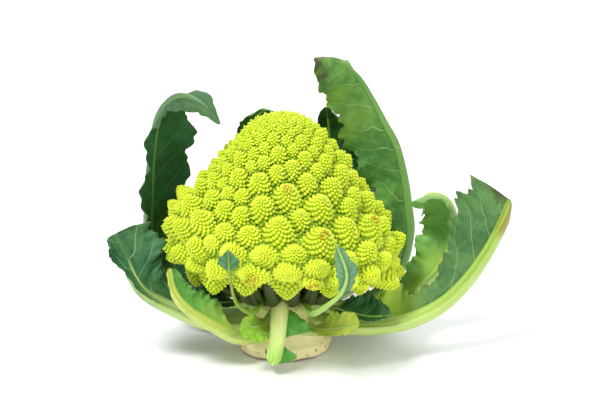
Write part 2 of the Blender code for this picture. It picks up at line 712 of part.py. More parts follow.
def turned_stalk(name, outline):
    """A stalk turned about the upright axis, swelling at its top. Its outline starts and ends on the axis."""
    points = [(0.0, 0.0, outline[0][1])]
    for ring, height in outline[1:-1]:
        for k in range(STEM_SIDES):
            azimuth = 2.0 * math.pi * k / STEM_SIDES
            reach = ring * branch_ripple(height, azimuth)
            points.append((reach * math.cos(azimuth), reach * math.sin(azimuth), height))
    points.append((0.0, 0.0, outline[-1][1]))
    faces = []
    last_ring = 1 + (len(outline) - 3) * STEM_SIDES
    for k in range(STEM_SIDES):
        after = (k + 1) % STEM_SIDES
        faces += [(0, 1 + k, 1 + after), (len(points) - 1, last_ring + after, last_ring + k)]
        for low in range(1, last_ring, STEM_SIDES):
            high = low + STEM_SIDES
            faces += [(low + k, high + k, high + after), (low + k, high + after, low + after)]
    return solid(name, "stem", points, faces, smooth=True)


def apply_modifiers(obj):
    graph = bpy.context.evaluated_depsgraph_get()
    mesh = bpy.data.meshes.new_from_object(obj.evaluated_get(graph))
    obj.modifiers.clear()
    obj.data = mesh


def branch_ripple(height, azimuth):
    """The stalk swells into branches below the curd."""
    rising = min(1.0, max(0.0, (height - BRANCH_FROM) / (STEM_LINE[-1][1] - BRANCH_FROM)))
    return 1.0 + BRANCH_DEPTH * rising * math.cos(BRANCH_COUNT * azimuth)


def make_stem():
    top = CORE_FLAT_HEIGHT - TOUCH_GAP
    return turned_stalk("stem", [(0.0, STEM_LINE[0][1]), *STEM_LINE, (STEM_TOP_RADIUS, top), (0.0, top)])


def leaf_stations(leaf):
    """Where the leaf's line has cross-sections: a few on the bare stalk, the rest on the blade."""
    bare_count = leaf.get("bare", BARE_STATIONS)
    bare = [leaf["blade"] * k / bare_count for k in range(bare_count)]
    count = leaf["stations"]
    blade = [leaf["blade"] + (1.0 - leaf["blade"]) * k / (count - 1) for k in range(count)]
    return bare, blade


def spread(values, share):
    """A value read from a short list that runs evenly from 0 to 1, smoothly."""
    table = np.array([np.atleast_1d(v) for v in values], float)
    line, _ = line_through(table, LIST_STEPS)
    place = np.clip(share, 0.0, 1.0) * (len(line) - 1)
    low = int(min(place, len(line) - 2))
    return line[low] + (line[low + 1] - line[low]) * (place - low)


def leaf_frame(leaf, share):
    """The rib's centre, its direction, the inner face's direction and the way to the right half."""
    line, along = line_through(leaf["rib"])
    distance = share * along[-1]
    centre = on_line(line, along, distance)
    ahead = on_line(line, along, min(distance + RIB_STEP, along[-1]))
    forwards = unit(ahead - on_line(line, along, max(distance - RIB_STEP, 0.0)))
    hint = spread(leaf["face"], share)
    inner = unit(hint - forwards * np.dot(hint, forwards))
    return centre, forwards, inner, np.cross(forwards, inner)


def stalk_size(leaf, share):
    (wide, deep), (end_wide, end_deep) = leaf["stalk"]
    fade = min(1.0, share / leaf["rib_end"]) ** RIB_TAPER
    return wide + (end_wide - wide) * fade, deep + (end_deep - deep) * fade


def half_blade(leaf, share, side):
    """Points across one half of the blade: the rib's middle, the flat's edge over it, then up the fold."""
    centre, forwards, inner, right = leaf_frame(leaf, share)
    half = 1 if side > 0 else 0
    widths = (leaf["left"], leaf["right"])[half]
    grown = (share - leaf["blade"]) / (1.0 - leaf["blade"])
    height, waves = leaf["wave"]
    lobes_at, waves_at = ((LEFT_LOBES_AT, LEFT_WAVES_AT), (RIGHT_LOBES_AT, RIGHT_WAVES_AT))[half]
    lobes = 1.0 + MARGIN_LOBES * math.sin(2.0 * math.pi * (LOBES_PER_WAVE * waves * grown + lobes_at))
    wide = float(spread(widths, grown)[0]) * lobes
    rib_half = 0.5 * stalk_size(leaf, share)[0] + TOUCH_GAP
    flat = min(rib_half, MOST_FLAT * wide)
    height *= min(1.0, max(0.0, wide - rib_half) / WAVES_FROM)
    place = centre + flat * side * right
    row = [centre, place]
    steps = FOLD_STEPS if max(widths) > NARROW_HALF else 1
    sweep = leaf.get("sweep", 0.0)
    for k in range(1, steps + 1):
        part = k / steps
        angle = math.radians(leaf["fold"][half] + leaf["curl"][half] * part)
        outwards = math.cos(angle) * side * right + math.sin(angle) * inner
        place = place + (wide - flat) / steps * (outwards + sweep * forwards)
        lift = height * part**WAVE_POWER * math.sin(2.0 * math.pi * (waves * grown + waves_at))
        row.append(place + lift * (math.cos(angle) * inner - math.sin(angle) * side * right))
    return row


def blade_sheet(leaf):
    """The blade's middle sheet, in rows from the left margin to the right, and the way each point faces."""
    _, stations = leaf_stations(leaf)
    rows = [half_blade(leaf, share, -1.0)[::-1] + half_blade(leaf, share, 1.0)[1:] for share in stations]
    sheet = np.array(rows)
    facing = np.cross(np.gradient(sheet, axis=1), np.gradient(sheet, axis=0))
    return sheet, facing / np.linalg.norm(facing, axis=2, keepdims=True)


def make_blade(name, leaf):
    """The leaf's thin green sheet, a closed solid whose two faces are split into the same triangles."""
    sheet, facing = blade_sheet(leaf)
    rows, across = sheet.shape[:2]
    inner_side = (sheet + 0.5 * BLADE_THICKNESS * facing).reshape(-1, 3)
    outer_side = (sheet - 0.5 * BLADE_THICKNESS * facing).reshape(-1, 3)
    other = len(inner_side)
    faces = []
    for row in range(rows - 1):
        for column in range(across - 1):
            a, b = row * across + column, row * across + column + 1
            for corners in ((a, b, b + across), (a, b + across, a + across)):
                faces += [corners, tuple(other + n for n in reversed(corners))]
    last_row = (rows - 1) * across
    rim = list(range(across))
    rim += [row * across + across - 1 for row in range(1, rows)]
    rim += list(range(last_row + across - 2, last_row - 1, -1))
    rim += [row * across for row in range(rows - 2, 0, -1)]
    for a, b in zip(rim, rim[1:] + rim[:1]):
        faces += [(a, other + a, other + b), (a, other + b, b)]
    return solid(f"{name}_blade", "blade", [*inner_side, *outer_side], faces, smooth=True)


def make_rib(name, leaf, stem):
    """The leaf's stalk and midrib: flat inside, round outside, and cut to the stem's surface."""
    bare, blade = leaf_stations(leaf)
    stations = bare + [share for share in blade if share <= leaf["rib_end"] + TINY]
    points, faces = [], []
    around = len(RIB_SIDES_ACROSS)
    for share in stations:
        centre, forwards, inner, right = leaf_frame(leaf, share)
        wide, deep = stalk_size(leaf, share)
        top = 0.5 * BLADE_THICKNESS + TOUCH_GAP
        for x, y in zip(RIB_SIDES_ACROSS, RIB_SIDES_DOWN):
            points.append(centre + 0.5 * wide * x * right - (top + deep * y) * inner)
    for row in range(len(stations) - 1):
        for k in range(around):
            a, b = row * around + k, row * around + (k + 1) % around
            faces.append((a, b, b + around))
            faces.append((a, b + around, a + around))
    for start in (0, (len(stations) - 1) * around):
        faces += [(start, start + k, start + k + 1) for k in range(1, around - 1)]
    rib = solid(f"{name}_rib", "rib", points, faces, smooth=True)
    cut = rib.modifiers.new("fit to stem", "BOOLEAN")
    cut.operation = "DIFFERENCE"
    cut.object = stem
    apply_modifiers(rib)
    return rib


def make_stem_cutter():
    """The stem grown by the gap that touching pieces keep."""
    grown = [(ring + TOUCH_GAP, height) for ring, height in STEM_LINE]
    cutter = turned_stalk("stem_cutter", [(0.0, -TOUCH_GAP), *grown, (0.0, CORE_FLAT_HEIGHT)])
    cutter.hide_render = True
    cutter.display_type = "WIRE"
    return cutter


def main():
    clear_scene()
    make_stem()
    make_curd()
    cutter = make_stem_cutter()
    for name, leaf in LEAVES.items():
        make_rib(name, leaf, cutter)
        make_blade(name, leaf)


main()
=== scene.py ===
"""The looks of a romanesco head: the buds on its florets, its veined leaves and its cut stalk.

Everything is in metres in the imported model's own frame: +Z up, -Y the front, the origin on the cut face.
The curd, the leaves and the stalk repeat the named sizes that the solids were built from.
"""

import math
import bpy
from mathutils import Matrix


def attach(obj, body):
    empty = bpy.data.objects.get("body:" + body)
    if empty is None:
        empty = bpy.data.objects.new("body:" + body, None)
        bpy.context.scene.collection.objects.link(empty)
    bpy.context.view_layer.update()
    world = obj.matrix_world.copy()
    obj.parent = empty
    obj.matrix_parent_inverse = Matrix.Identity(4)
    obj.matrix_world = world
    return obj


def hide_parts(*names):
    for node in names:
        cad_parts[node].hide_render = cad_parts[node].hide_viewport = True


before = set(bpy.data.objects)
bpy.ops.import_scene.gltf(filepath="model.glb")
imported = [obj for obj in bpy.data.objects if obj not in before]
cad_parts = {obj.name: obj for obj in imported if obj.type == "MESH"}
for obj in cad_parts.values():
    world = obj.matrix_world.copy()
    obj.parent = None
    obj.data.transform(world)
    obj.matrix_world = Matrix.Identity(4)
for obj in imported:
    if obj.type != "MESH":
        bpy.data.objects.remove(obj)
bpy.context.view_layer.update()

from types import SimpleNamespace

import bpy
import numpy as np
from mathutils import Vector
from mathutils.geometry import delaunay_2d_cdt

GOLDEN_ANGLE = math.pi * (3.0 - math.sqrt(5.0))
FULL_TURN = 2.0 * math.pi
UP = np.array([0.0, 0.0, 1.0])
TOUCH_GAP = 0.0003
TINY = 1e-9
LINE_STEPS = 12
LIST_STEPS = 8

# The curd's dome: the line that the florets' tips follow from the crown to the underside, as (radius, height)
HEAD_LINE = [
    (0.0, 0.1530), (0.0150, 0.1495), (0.0290, 0.1385), (0.0430, 0.1215), (0.0575, 0.1035),
    (0.0715, 0.0880), (0.0758, 0.0700), (0.0738, 0.0555), (0.0660, 0.0465), (0.0550, 0.0435),
]
HEAD_TOP = HEAD_LINE[0][1]
HEAD_RADIUS = 0.0755

# How the real head leans: its shoulder is lower on the right and higher on the left, its rim less so, and
# its rim rises at the front
LEAN_DROP = 0.014
LEAN_FULL_BELOW = 0.0765
LEAN_AT_RIM = 0.3
RIM_HEIGHT = 0.045
RIM_BLEND = 0.040
FRONT_RISE = 0.014
CROWN_SHIFT = -0.001
MIDDLE_SHIFT = 0.0022

# Florets: their radius grows from the crown to the rim, more so towards the front right. They turn up.
FLORET_SMALLEST = 0.0010
FLORET_GROWTH = 0.092
RIM_FLORET_RADIUS = 0.0130
FLORET_OVERLAP = 1.14
FLORET_HEIGHT = 1.36
FLORET_LIFT = math.radians(20.0)
MOST_LIFT_AT = math.radians(25.0)
LIFT_GROWS_OVER = 0.0200
SIZE_SPREAD = 0.34
SIZE_LEANS_BY = 0.42
SIZE_LEANS_TO = math.radians(-50.0)
LEANING_GROWS_OVER = 0.045
STAND_OUT = 0.9
HEX_PACKING = 2.0 * math.sqrt(3.0) / (2.0 * math.pi)
FIRST_TURN = math.sqrt(2.0 * HEX_PACKING)
LAST_FLORET_SHARE = 0.985
SPACING_ROUNDS = 60
SPACING_STEP = 0.25
SPACING = 0.95
LIMIT_SHARPNESS = 4.0
SLOPE_STEP = 0.003
FLORET_SEED = 9

# Buds on a floret: how steep its flank is, their width at its tip and how it grows, and how far down they go
FLANK_POWER = 0.74
TIP_BUD = 0.0011
BUD_GROWTH = 0.24
LAST_BUD = 1.8
CELL_SLACK = 1.03
SHARE_STEP = 0.02
BUD_LIFT = 0.80
BUD_FULLNESS = 1.04
BUD_UNEVENNESS = 0.12
CURD_SECTORS = 6

# One bud, for a width of 1: its outline from the tip to the neck, as (radius, height, how high on the bud).
# The lower a point is on the bud, the more painted shade it gets.
BUD_LINE = [(0.0, 0.78, 1.0), (0.25, 0.50, 0.85), (0.52, 0.02, 0.30), (0.38, -0.50, 0.0)]
BUD_SIDES = 8

# A bud's own small beads: how many there are in a metre, and the widths of a bud between which they begin to
# show as relief and as painted shade at their edges
BEAD_SCALE = 950.0
BEAD_RELIEF_WIDTHS = (0.0015, 0.0035)
BEAD_SHADE_WIDTHS = (0.0018, 0.0040)

# Painted shade in the valleys between florets: where on a floret it starts, and the floret radii between
# which it deepens
VALLEY_SHADE_FROM = 0.50
VALLEY_SHADE_RADII = (0.0010, 0.0035)

# Florets with rusty tips: the shares of a floret between which the rust fades, and where such tips are
RUST_FADES = (0.10, 0.30)
RUSTY_TIPS = [
    (0.000, 0.000, 0.153), (0.004, -0.040, 0.118), (-0.001, -0.045, 0.110), (0.017, -0.058, 0.098),
    (0.055, -0.030, 0.105), (-0.020, -0.073, 0.066), (-0.010, -0.075, 0.058), (0.012, -0.075, 0.062),
]

# The skin that the buds stand on, and the flat that it rests on the stalk with
SKIN_DEPTH = 0.08
MOST_DEPTH = 0.0132
UNDERSIDE_MAP = 1.6
CORE_SIDES = 32
CORE_FLAT_RADIUS = 0.030
CORE_FLAT_HEIGHT = 0.0575

# The stalk: its outline from the cut face to the branches under the curd, as (radius, height), how uneven it
# is round its side, as (depth, how many times, shift, twist in a metre of height), and the heights between
# which its colour changes
STEM_LINE = [
    (0.0270, 0.0), (0.0292, 0.0016), (0.0290, 0.0070), (0.0262, 0.0110), (0.0240, 0.0200),
    (0.0215, 0.0300), (0.0200, 0.0380), (0.0225, 0.0450), (0.0300, 0.0515),
]
STEM_UNEVEN = [(0.010, 3.0, 0.7, 0.0), (0.008, 7.0, 0.0, 140.0), (0.006, 13.0, 0.0, 0.0)]
STEM_TURNS_GREEN = (0.016, 0.026)
STEM_TURNS_PALE = (0.030, 0.042)
STEM_SPOTS_END = (0.006, 0.010)
STEM_CUT_ENDS = (0.0, 0.0022)
STEM_ROWS = 90
STEM_ROUND = 144
BRANCH_COUNT = 8
BRANCH_DEPTH = 0.10
BRANCH_FROM = 0.036

# The branches between the stalk and the curd: the start of their line, as (out, up), and its end
BRANCH_LINE = [(0.012, 0.030), (0.026, 0.0400), (0.042, 0.0465)]
BRANCH_END = 0.056
BRANCH_END_HEIGHT = 0.054
BRANCH_RADIUS = 0.0046
BRANCH_FOOT = 1.15
BRANCH_THINNING = 0.35
UNDER_BRANCHES = 26
BRANCH_SCATTER = 0.3
BRANCH_TILT = 0.4
# Out from the axis, where the branches turn from pale to their own green darkened by painted shade
BRANCH_TURNS_SHADED = (0.020, 0.038)
BRANCH_REACH_SPREAD = 0.06
BRANCH_WIDTH_SPREAD = 0.15
BRANCH_ROWS = 18
BRANCH_ROUND = 20
BRANCH_SEED = 5

# Leaf sheets as in the solids. A pair of values is for the left half and the right half.
NARROWEST_HALF = 0.004
RIB_TAPER = 0.8
MARGIN_LOBES = 0.09
LOBES_PER_WAVE = 1.3
WAVES_FROM = 0.012
LOBES_AT = (0.0, 0.31)
WAVES_AT = (-0.30, 0.30)
WAVE_POWER = 1.5
MOST_FLAT = 0.8
RIB_STEP = 0.0015

# The blade beside the rib, in half widths of the rib: where the fold starts and is whole, where the puckers
# between the veins are whole, and how far the groove reaches
FOLD_BESIDE_RIB = (0.5, 1.5)
PUCKER_WHOLE = 3.0
GROOVE_REACH = 0.9

# Finer than the solids: the blade's thickness and its share at the edge, its ends, ruffles and puckers
BLADE_THICK = 0.0008
EDGE_THINNING = 0.003
EDGE_SHARE = 0.45
LEAD_IN = 0.06
LEAD_IN_PAST = 0.3
START_WIDTH = 0.12
TIP_WIDTH = 0.10
LEAST_WIDTH = 0.0006
TIP_ROUNDING = 0.04
CURL_START = 0.25
RUFFLE = 0.0011
RUFFLES_PER_WAVE = 3.3
RUFFLE_SLANT = 2.0
PUCKER = 0.0009
PUCKER_POWER = 0.8
GROOVE = 0.0002

# The margin's teeth, as (how many to a wave, shift, height): two smooth rows, then one that is jagged
SMOOTH_TEETH = [(3.4, 1.0, 0.45), (5.882, 2.1, 0.27)]
JAGGED_TEETH = (2.074, 1.3, 0.9)
JAGGED_MIDDLE = 0.7
MOST_TOOTH = 0.14

# Veins: their spacing, slant and bend, how unevenly they are spaced, how wide they are at the margin and
# further in, how far they waver, and the net between them
VEIN_GAP = 0.62
VEIN_SLANT = 0.75
VEIN_BEND = 7.0
VEIN_UNEVEN = 0.13
VEIN_UNEVEN_TURNS = 3.0
VEIN_HALF_PHASE = 5.0
VEIN_HALF_AT_EDGE = 0.00010
VEIN_HALF = 0.00034
VEIN_WIDENS_OVER = 0.016
VEIN_WANDER = 0.9
VEIN_WANDERS_FROM = 0.008
NET_SCALE = 150.0
NET_BEND = 0.012

# The meshes of leaves: the size of a blade's faces, how far apart the leaves' and halves' patterns start, and
# the notes that a blade's points carry for its finish
LEAF_FACE = 0.0012
LEAST_ROWS = 20
LEAST_COLUMNS = 6
COLUMN_POWER = 0.9
LEAF_PHASE = 0.83
HALF_PHASE = 1.7
SHEET_NOTES = ("vein", "from_rib", "from_edge", "grown")

# The rib's tube
RIB_ROWS = 70
RIB_SIDES = 28
RIB_PAST_END = 0.06
RIB_CLOSING = 0.08
RIB_TIP = 0.1
RIB_DROP = 0.0008
RIB_CREST = 0.0007
CREST_HALF = 0.0012
CREST_FLAT = 0.3
FLUTES = 14.0
FLUTE_DEPTH = 0.018

# The set
CAMERA_DISTANCE = 1.0
CAMERA_ELEVATION = math.radians(16.0)
CAMERA_TARGET = (0.010, 0.0, 0.0906)
CAMERA_LENS = 96.0
CAMERA_NEAREST = 0.05
FLOOR_FRONT = 2.0
FLOOR_BACK = 1.2
FLOOR_BEND = 0.6
FLOOR_BEND_STEPS = 12
FLOOR_SIDE = 3.0
WALL_HEIGHT = 2.5
LIGHT_TARGET = (0.0, 0.0, 0.08)
LIGHTS = [
    ("window", (-0.7, -0.8, 1.6), 30.0, 0.5),
    ("fill", (1.2, -1.1, 0.8), 8.0, 1.0),
    ("rim", (0.3, 1.0, 1.3), 10.0, 0.8),
]
WORLD_COLOUR = (1.0, 1.0, 1.0, 1.0)
WORLD_STRENGTH = 0.58


def shade(red, green, blue):
    """A colour given as it looks on a screen, from 0 to 255, as the light that it stands for."""
    values = [c / 255.0 for c in (red, green, blue)]
    return (*[c / 12.92 if c <= 0.04045 else ((c + 0.055) / 1.055) ** 2.4 for c in values], 1.0)


# Colours
CURD_FLESH = shade(210, 229, 32)
CURD_PALE = shade(223, 236, 66)
# Painted shade on the curd: flesh in the valleys between florets, crevices low on the buds, deeper in valleys
CURD_VALLEY_SHADE = shade(140, 176, 20)
CURD_CREVICE_SHADE = shade(166, 194, 18)
CURD_SHADE = shade(70, 98, 10)
CURD_RUST = shade(176, 126, 0)
STEM_CREAM = shade(254, 240, 184)
STEM_GREEN = shade(226, 232, 140)
STEM_PALE = shade(220, 216, 138)
STEM_STREAK = shade(244, 236, 168)
STEM_SPOT = shade(176, 112, 60)
STEM_CUT = shade(126, 62, 44)
RIB_SPOT = shade(200, 190, 120)
# Dark green of the branches: their own green, darkened with painted shade under the curd
BRANCH_SHADED_GREEN = shade(46, 64, 10)
BRANCH_PALE = shade(206, 208, 132)
FLOOR_LIGHT = shade(250, 250, 252)
FLOOR_SHADE = shade(245, 245, 249)

# The widths of the dry edge of a leaf, and the share over which a leaf's end withers or its rib scars
DRY_EDGE = (0.0012, 0.0030)
END_FADE = 0.06

# A leaf's tones, where it names none of its own. Three numbers are a colour.
PLAIN_TONE = dict(
    inner=(34, 84, 50), inner_light=(50, 106, 60), outer=(82, 124, 80), outer_light=(102, 146, 96),
    vein=(150, 186, 130), vein_share=0.55, net=0.34, yellow=(150, 186, 60), yellowing=0.10, foot=0.12,
    dry=0.25, dry_colour=(120, 100, 52), scar=(150, 140, 44), scar_from=2.0,
    withered=(66, 72, 34), withered_from=2.0, tooth=0.0011, bare_rib=0.0007,
    midrib=(196, 216, 136), midrib_end=(138, 184, 84), streak=(176, 206, 112), rib_fade=(0.05, 0.85),
)


# Shared rules of the dome and the leaves
def unit(vectors):
    return vectors / np.linalg.norm(vectors, axis=-1, keepdims=True)


def smooth_step(value, low, high):
    share = np.clip((value - low) / (high - low), 0.0, 1.0)
    return share * share * (3.0 - 2.0 * share)


def line_through(points, steps=LINE_STEPS):
    """A smooth line through the points, and how far along it each of its own points is."""
    p = np.array(points, float)
    p = np.vstack([2 * p[0] - p[1], p, 2 * p[-1] - p[-2]])
    rows = []
    for i in range(1, len(p) - 2):
        a, b, c, d = p[i - 1 : i + 3]
        for t in np.arange(steps) / steps:
            bend = (2 * a - 5 * b + 4 * c - d) * t**2 + (3 * (b - c) + d - a) * t**3
            rows.append(0.5 * (2 * b + (c - a) * t + bend))
    rows.append(p[-2])
    line = np.array(rows)
    along = np.concatenate([[0.0], np.cumsum(np.linalg.norm(np.diff(line, axis=0), axis=1))])
    return line, along


def on_line(line, along, distance):
    return np.stack([np.interp(distance, along, line[:, axis]) for axis in range(line.shape[1])], axis=-1)


def spread(values, share):
    """Values read from a short list that runs evenly from 0 to 1, smoothly."""
    table = np.array([np.atleast_1d(v) for v in values], float)
    line, _ = line_through(table, LIST_STEPS)
    return on_line(line, np.linspace(0.0, 1.0, len(line)), np.clip(share, 0.0, 1.0))


def limited(value, most):
    """The value while it is small, running smoothly into the most that it may be."""
    both = np.maximum(value, TINY) ** -LIMIT_SHARPNESS + most**-LIMIT_SHARPNESS
    return both ** (-1.0 / LIMIT_SHARPNESS)


# Meshes and nodes
def new_mesh(name, points, faces=()):
    mesh = bpy.data.meshes.new(name)
    mesh.from_pydata(np.asarray(points).tolist(), [], faces)
    return mesh


def note(mesh, name, values):
    """Keeps a number for each point of a mesh, for its finish to read."""
    mesh.attributes.new(name, "FLOAT", "POINT").data.foreach_set("value", np.asarray(values, np.float32))


def link_object(name, data):
    obj = bpy.data.objects.new(name, data)
    bpy.context.scene.collection.objects.link(obj)
    return obj


def dress(obj, slot, *nodes):
    """Fixes a finished piece to the root and hides the parts that it stands for. The slot is not used."""
    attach(obj, "root")
    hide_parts(*nodes)


def make_piece(mesh, paint, slot, node):
    """A smooth piece of one finish, named as its mesh is."""
    mesh.materials.append(paint)
    mesh.shade_smooth()
    dress(link_object(mesh.name, mesh), slot, node)


def closed_tube(name, rings):
    """A closed tube through rings of points, which run anticlockwise seen against its direction."""
    rows, around = rings.shape[:2]
    points = np.concatenate([rings.reshape(-1, 3), [rings[0].mean(axis=0), rings[-1].mean(axis=0)]])
    index = np.arange(rows * around).reshape(rows, around)
    after = np.roll(index, -1, axis=1)
    faces = np.stack([index[:-1], after[:-1], after[1:], index[1:]], axis=-1).reshape(-1, 4).tolist()
    first, last = rows * around, rows * around + 1
    faces += [(first, int(b), int(a)) for a, b in zip(index[0], after[0])]
    faces += [(last, int(a), int(b)) for a, b in zip(index[-1], after[-1])]
    return new_mesh(name, points, faces)


def add_node(tree, kind, fed=(), **settings):
    """A new node with its settings. Each input that fed names gets a value or another node's output."""
    node = tree.nodes.new(kind)
    for name, value in settings.items():
        setattr(node, name, value)
    for socket, value in dict(fed).items():
        if isinstance(value, bpy.types.NodeSocket):
            tree.links.new(value, node.inputs[socket])
        else:
            node.inputs[socket].default_value = value
    return node


# The curd: florets on a dome, buds on the florets
def lean(points):
    """Moves an upright dome's points to the real head's: lower on the right, its middle further right."""
    x, y, z = np.moveaxis(points, -1, 0)
    low = np.clip((HEAD_TOP - z) / LEAN_FULL_BELOW, 0.0, 1.0)
    above_rim = np.clip((z - RIM_HEIGHT) / RIM_BLEND, 0.0, 1.0)
    drop = LEAN_DROP * low * (LEAN_AT_RIM + (1.0 - LEAN_AT_RIM) * above_rim)
    rise = FRONT_RISE * (1.0 - above_rim) * np.maximum(0.0, -y / HEAD_RADIUS) ** 2
    shift = CROWN_SHIFT * (1.0 - low) + MIDDLE_SHIFT * 4.0 * low * (1.0 - low)
    return np.stack([x + shift, y, z - drop * x / HEAD_RADIUS + rise], axis=-1)


class Dome:
    """The surface that the florets' tips lie on, and the flat map of it that the pattern is drawn on."""

    def __init__(self):
        self.line, self.along = line_through(HEAD_LINE)
        ring = np.maximum(self.line[:, 0], TINY)
        growth = 0.5 * (1.0 / ring[2:] + 1.0 / ring[1:-1]) * np.diff(self.along[1:])
        growth = np.concatenate([[0.0], np.cumsum(growth)])
        self.map_radius = np.concatenate([[0.0], ring[1] * np.exp(growth)])
        self.length = self.along[-1]

    def ring(self, distance):
        return float(np.interp(distance, self.along, self.line[:, 0]))

    def on_map(self, distance, azimuth):
        radius = float(np.interp(distance, self.along, self.map_radius))
        return radius * np.array([math.cos(azimuth), math.sin(azimuth)])

    def from_crown(self, places):
        """How far along the dome from its crown places on the map are."""
        return np.interp(np.linalg.norm(places, axis=-1), self.map_radius, self.along)

    def map_scale(self, distance):
        """How many map metres one metre along the dome takes."""
        near = max(distance, self.along[2])
        return float(np.interp(near, self.along, self.map_radius)) / self.ring(near)

    def surface(self, places):
        """The points over places on the map, and the directions that florets there grow in."""
        reach = np.linalg.norm(places, axis=-1, keepdims=True)
        distance = self.from_crown(places)
        flat = np.concatenate([places / np.maximum(reach, TINY), np.zeros_like(reach)], axis=-1)
        middle = on_line(self.line, self.along, distance)
        before = on_line(self.line, self.along, np.maximum(distance - SLOPE_STEP, 0.0))
        after = on_line(self.line, self.along, np.minimum(distance + SLOPE_STEP, self.length))
        down = unit(after - before)
        tilt = np.arctan2(down[..., 0], -down[..., 1])
        lifted = FLORET_LIFT * np.minimum(1.0, distance / LIFT_GROWS_OVER)
        tilt = tilt + lifted * np.cos(tilt - MOST_LIFT_AT) ** 2
        axes = np.cos(tilt)[..., None] * flat + np.sin(tilt)[..., None] * UP
        return lean(middle[..., :1] * flat + middle[..., 1:] * UP), axes


def floret_sites(dome):
    """Each floret's place on the map, tip, radius and how far it stands out: one at every golden angle."""
    rng = np.random.default_rng(FLORET_SEED)
    places, radii, stands_out = [dome.on_map(0.0, 0.0)], [FLORET_SMALLEST], [0.0]
    distance = FIRST_TURN * FLORET_SMALLEST
    while distance < LAST_FLORET_SHARE * dome.length:
        azimuth = len(places) * GOLDEN_ANGLE
        plain = float(limited(FLORET_SMALLEST + FLORET_GROWTH * distance, RIM_FLORET_RADIUS))
        leaning = SIZE_LEANS_BY * min(1.0, distance / LEANING_GROWS_OVER) * math.cos(azimuth - SIZE_LEANS_TO)
        uneven = SIZE_SPREAD * rng.uniform(-1.0, 1.0)
        places.append(dome.on_map(distance, azimuth))
        radii.append(plain * (1.0 + leaning + uneven))
        stands_out.append(STAND_OUT * plain * uneven)
        distance += HEX_PACKING * plain**2 / dome.ring(distance)
    radii = np.array(radii)
    places = spaced(dome, np.array(places), radii)
    return places, dome.surface(places)[0], radii, np.array(stands_out)


def spaced(dome, places, radii):
    """The places after the florets have pushed each other apart on the map, as far as their sizes need."""
    edge = np.interp(LAST_FLORET_SHARE * dome.length, dome.along, dome.map_radius)
    for _ in range(SPACING_ROUNDS):
        room = SPACING * radii * [dome.map_scale(distance) for distance in dome.from_crown(places)]
        apart = places[:, None] - places[None]
        distance = np.linalg.norm(apart, axis=2) + np.eye(len(places))
        overlap = np.maximum(room[:, None] + room[None] - distance, 0.0) * (1.0 - np.eye(len(places)))
        moves = SPACING_STEP * (apart * (overlap / distance)[..., None]).sum(axis=1)
        places[1:] += moves[1:]
        places *= np.minimum(1.0, edge / np.maximum(np.linalg.norm(places, axis=1), TINY))[:, None]
    return places


def bud_width(share, reach):
    """How wide a bud is at a share of the way down a floret of that reach."""
    return TIP_BUD + BUD_GROWTH * share * reach


def spiral_shares(reach):
    """How far down a floret each bud of its spiral sits, so that the buds fill its flank."""
    shares = [0.0]
    share = 0.5 * float(bud_width(0.0, reach)) / reach
    while share < LAST_BUD:
        shares.append(share)
        steep = FLORET_HEIGHT / FLANK_POWER * share ** (1.0 / FLANK_POWER - 1.0)
        half = 0.5 * float(bud_width(share, reach)) / reach
        share += HEX_PACKING * half**2 / (share * math.hypot(1.0, steep))
    return np.array(shares)


def bud_sites(dome, places, tips, radii, stands_out):
    """Every bud that shows: its place on the map, point, outward direction, width, share down its floret, how
    near it is to the next floret, and its floret."""
    wanted, owners, shares = [], [], []
    for index, place in enumerate(places):
        reach = FLORET_OVERLAP * radii[index]
        down = spiral_shares(reach)
        turns = (np.arange(len(down)) + index) * GOLDEN_ANGLE
        across = down * reach * dome.map_scale(float(dome.from_crown(place)))
        wanted.append(place + across[:, None] * np.stack([np.cos(turns), np.sin(turns)], axis=1))
        owners.append(np.full(len(down), index))
        shares.append(down)
    wanted, owners, shares = np.concatenate(wanted), np.concatenate(owners), np.concatenate(shares)
    points, axes = dome.surface(wanted)
    near = np.linalg.norm(points[:, None] - tips[None], axis=2) / (FLORET_OVERLAP * radii)
    nearest = near.argmin(axis=1)
    own = near[np.arange(len(points)), owners]
    near[np.arange(len(points)), owners] = np.inf
    valley = own / near.min(axis=1)
    near[np.arange(len(points)), owners] = own
    kept = (own <= near.min(axis=1) * CELL_SLACK) & (np.linalg.norm(wanted, axis=1) < dome.map_radius[-1])
    kept |= (shares == 0.0) & (nearest == owners)
    wanted, owners, points, axes, own, valley = (
        values[kept] for values in (wanted, owners, points, axes, own, valley)
    )
    reach = FLORET_OVERLAP * radii[owners]
    height = FLORET_HEIGHT * reach
    deep = limited(own ** (1.0 / FLANK_POWER), MOST_DEPTH / height)
    deeper = limited((own + SHARE_STEP) ** (1.0 / FLANK_POWER), MOST_DEPTH / height)
    slope = (height / reach * (deeper - deep) / SHARE_STEP)[:, None]
    away = points - tips[owners]
    away = away - (away * axes).sum(axis=1, keepdims=True) * axes
    away = away / np.maximum(np.linalg.norm(away, axis=1, keepdims=True), TINY)
    points = points + (stands_out[owners] * (1.0 - deep) - deep * height)[:, None] * axes
    facing = unit(np.where(own[:, None] < TINY, 0.0, slope) * away + BUD_LIFT * axes)
    return wanted, points, facing, bud_width(own, reach), own, valley, owners


def bud_shape():
    """One bud, a unit wide: a blunt bead, open below where its neck sinks into the floret."""
    points, high, faces = [(0.0, 0.0, BUD_LINE[0][1])], [1.0], []
    for row, (reach, height, light) in enumerate(BUD_LINE[1:]):
        for side in range(BUD_SIDES):
            turn = FULL_TURN * (side + 0.5 * row) / BUD_SIDES
            points.append((reach * math.cos(turn), reach * math.sin(turn), height))
            high.append(light)
            here = 1 + row * BUD_SIDES + side
            beside = 1 + row * BUD_SIDES + (side + 1) % BUD_SIDES
            if row == 0:
                faces.append((0, here, beside))
            else:
                faces.append((here, beside, beside - BUD_SIDES))
                faces.append((here, beside - BUD_SIDES, here - BUD_SIDES))
    mesh = new_mesh("bud shape", points, faces)
    # How high each point is on the bud, which sets its painted shade
    note(mesh, "high", high)
    mesh.update()
    return mesh


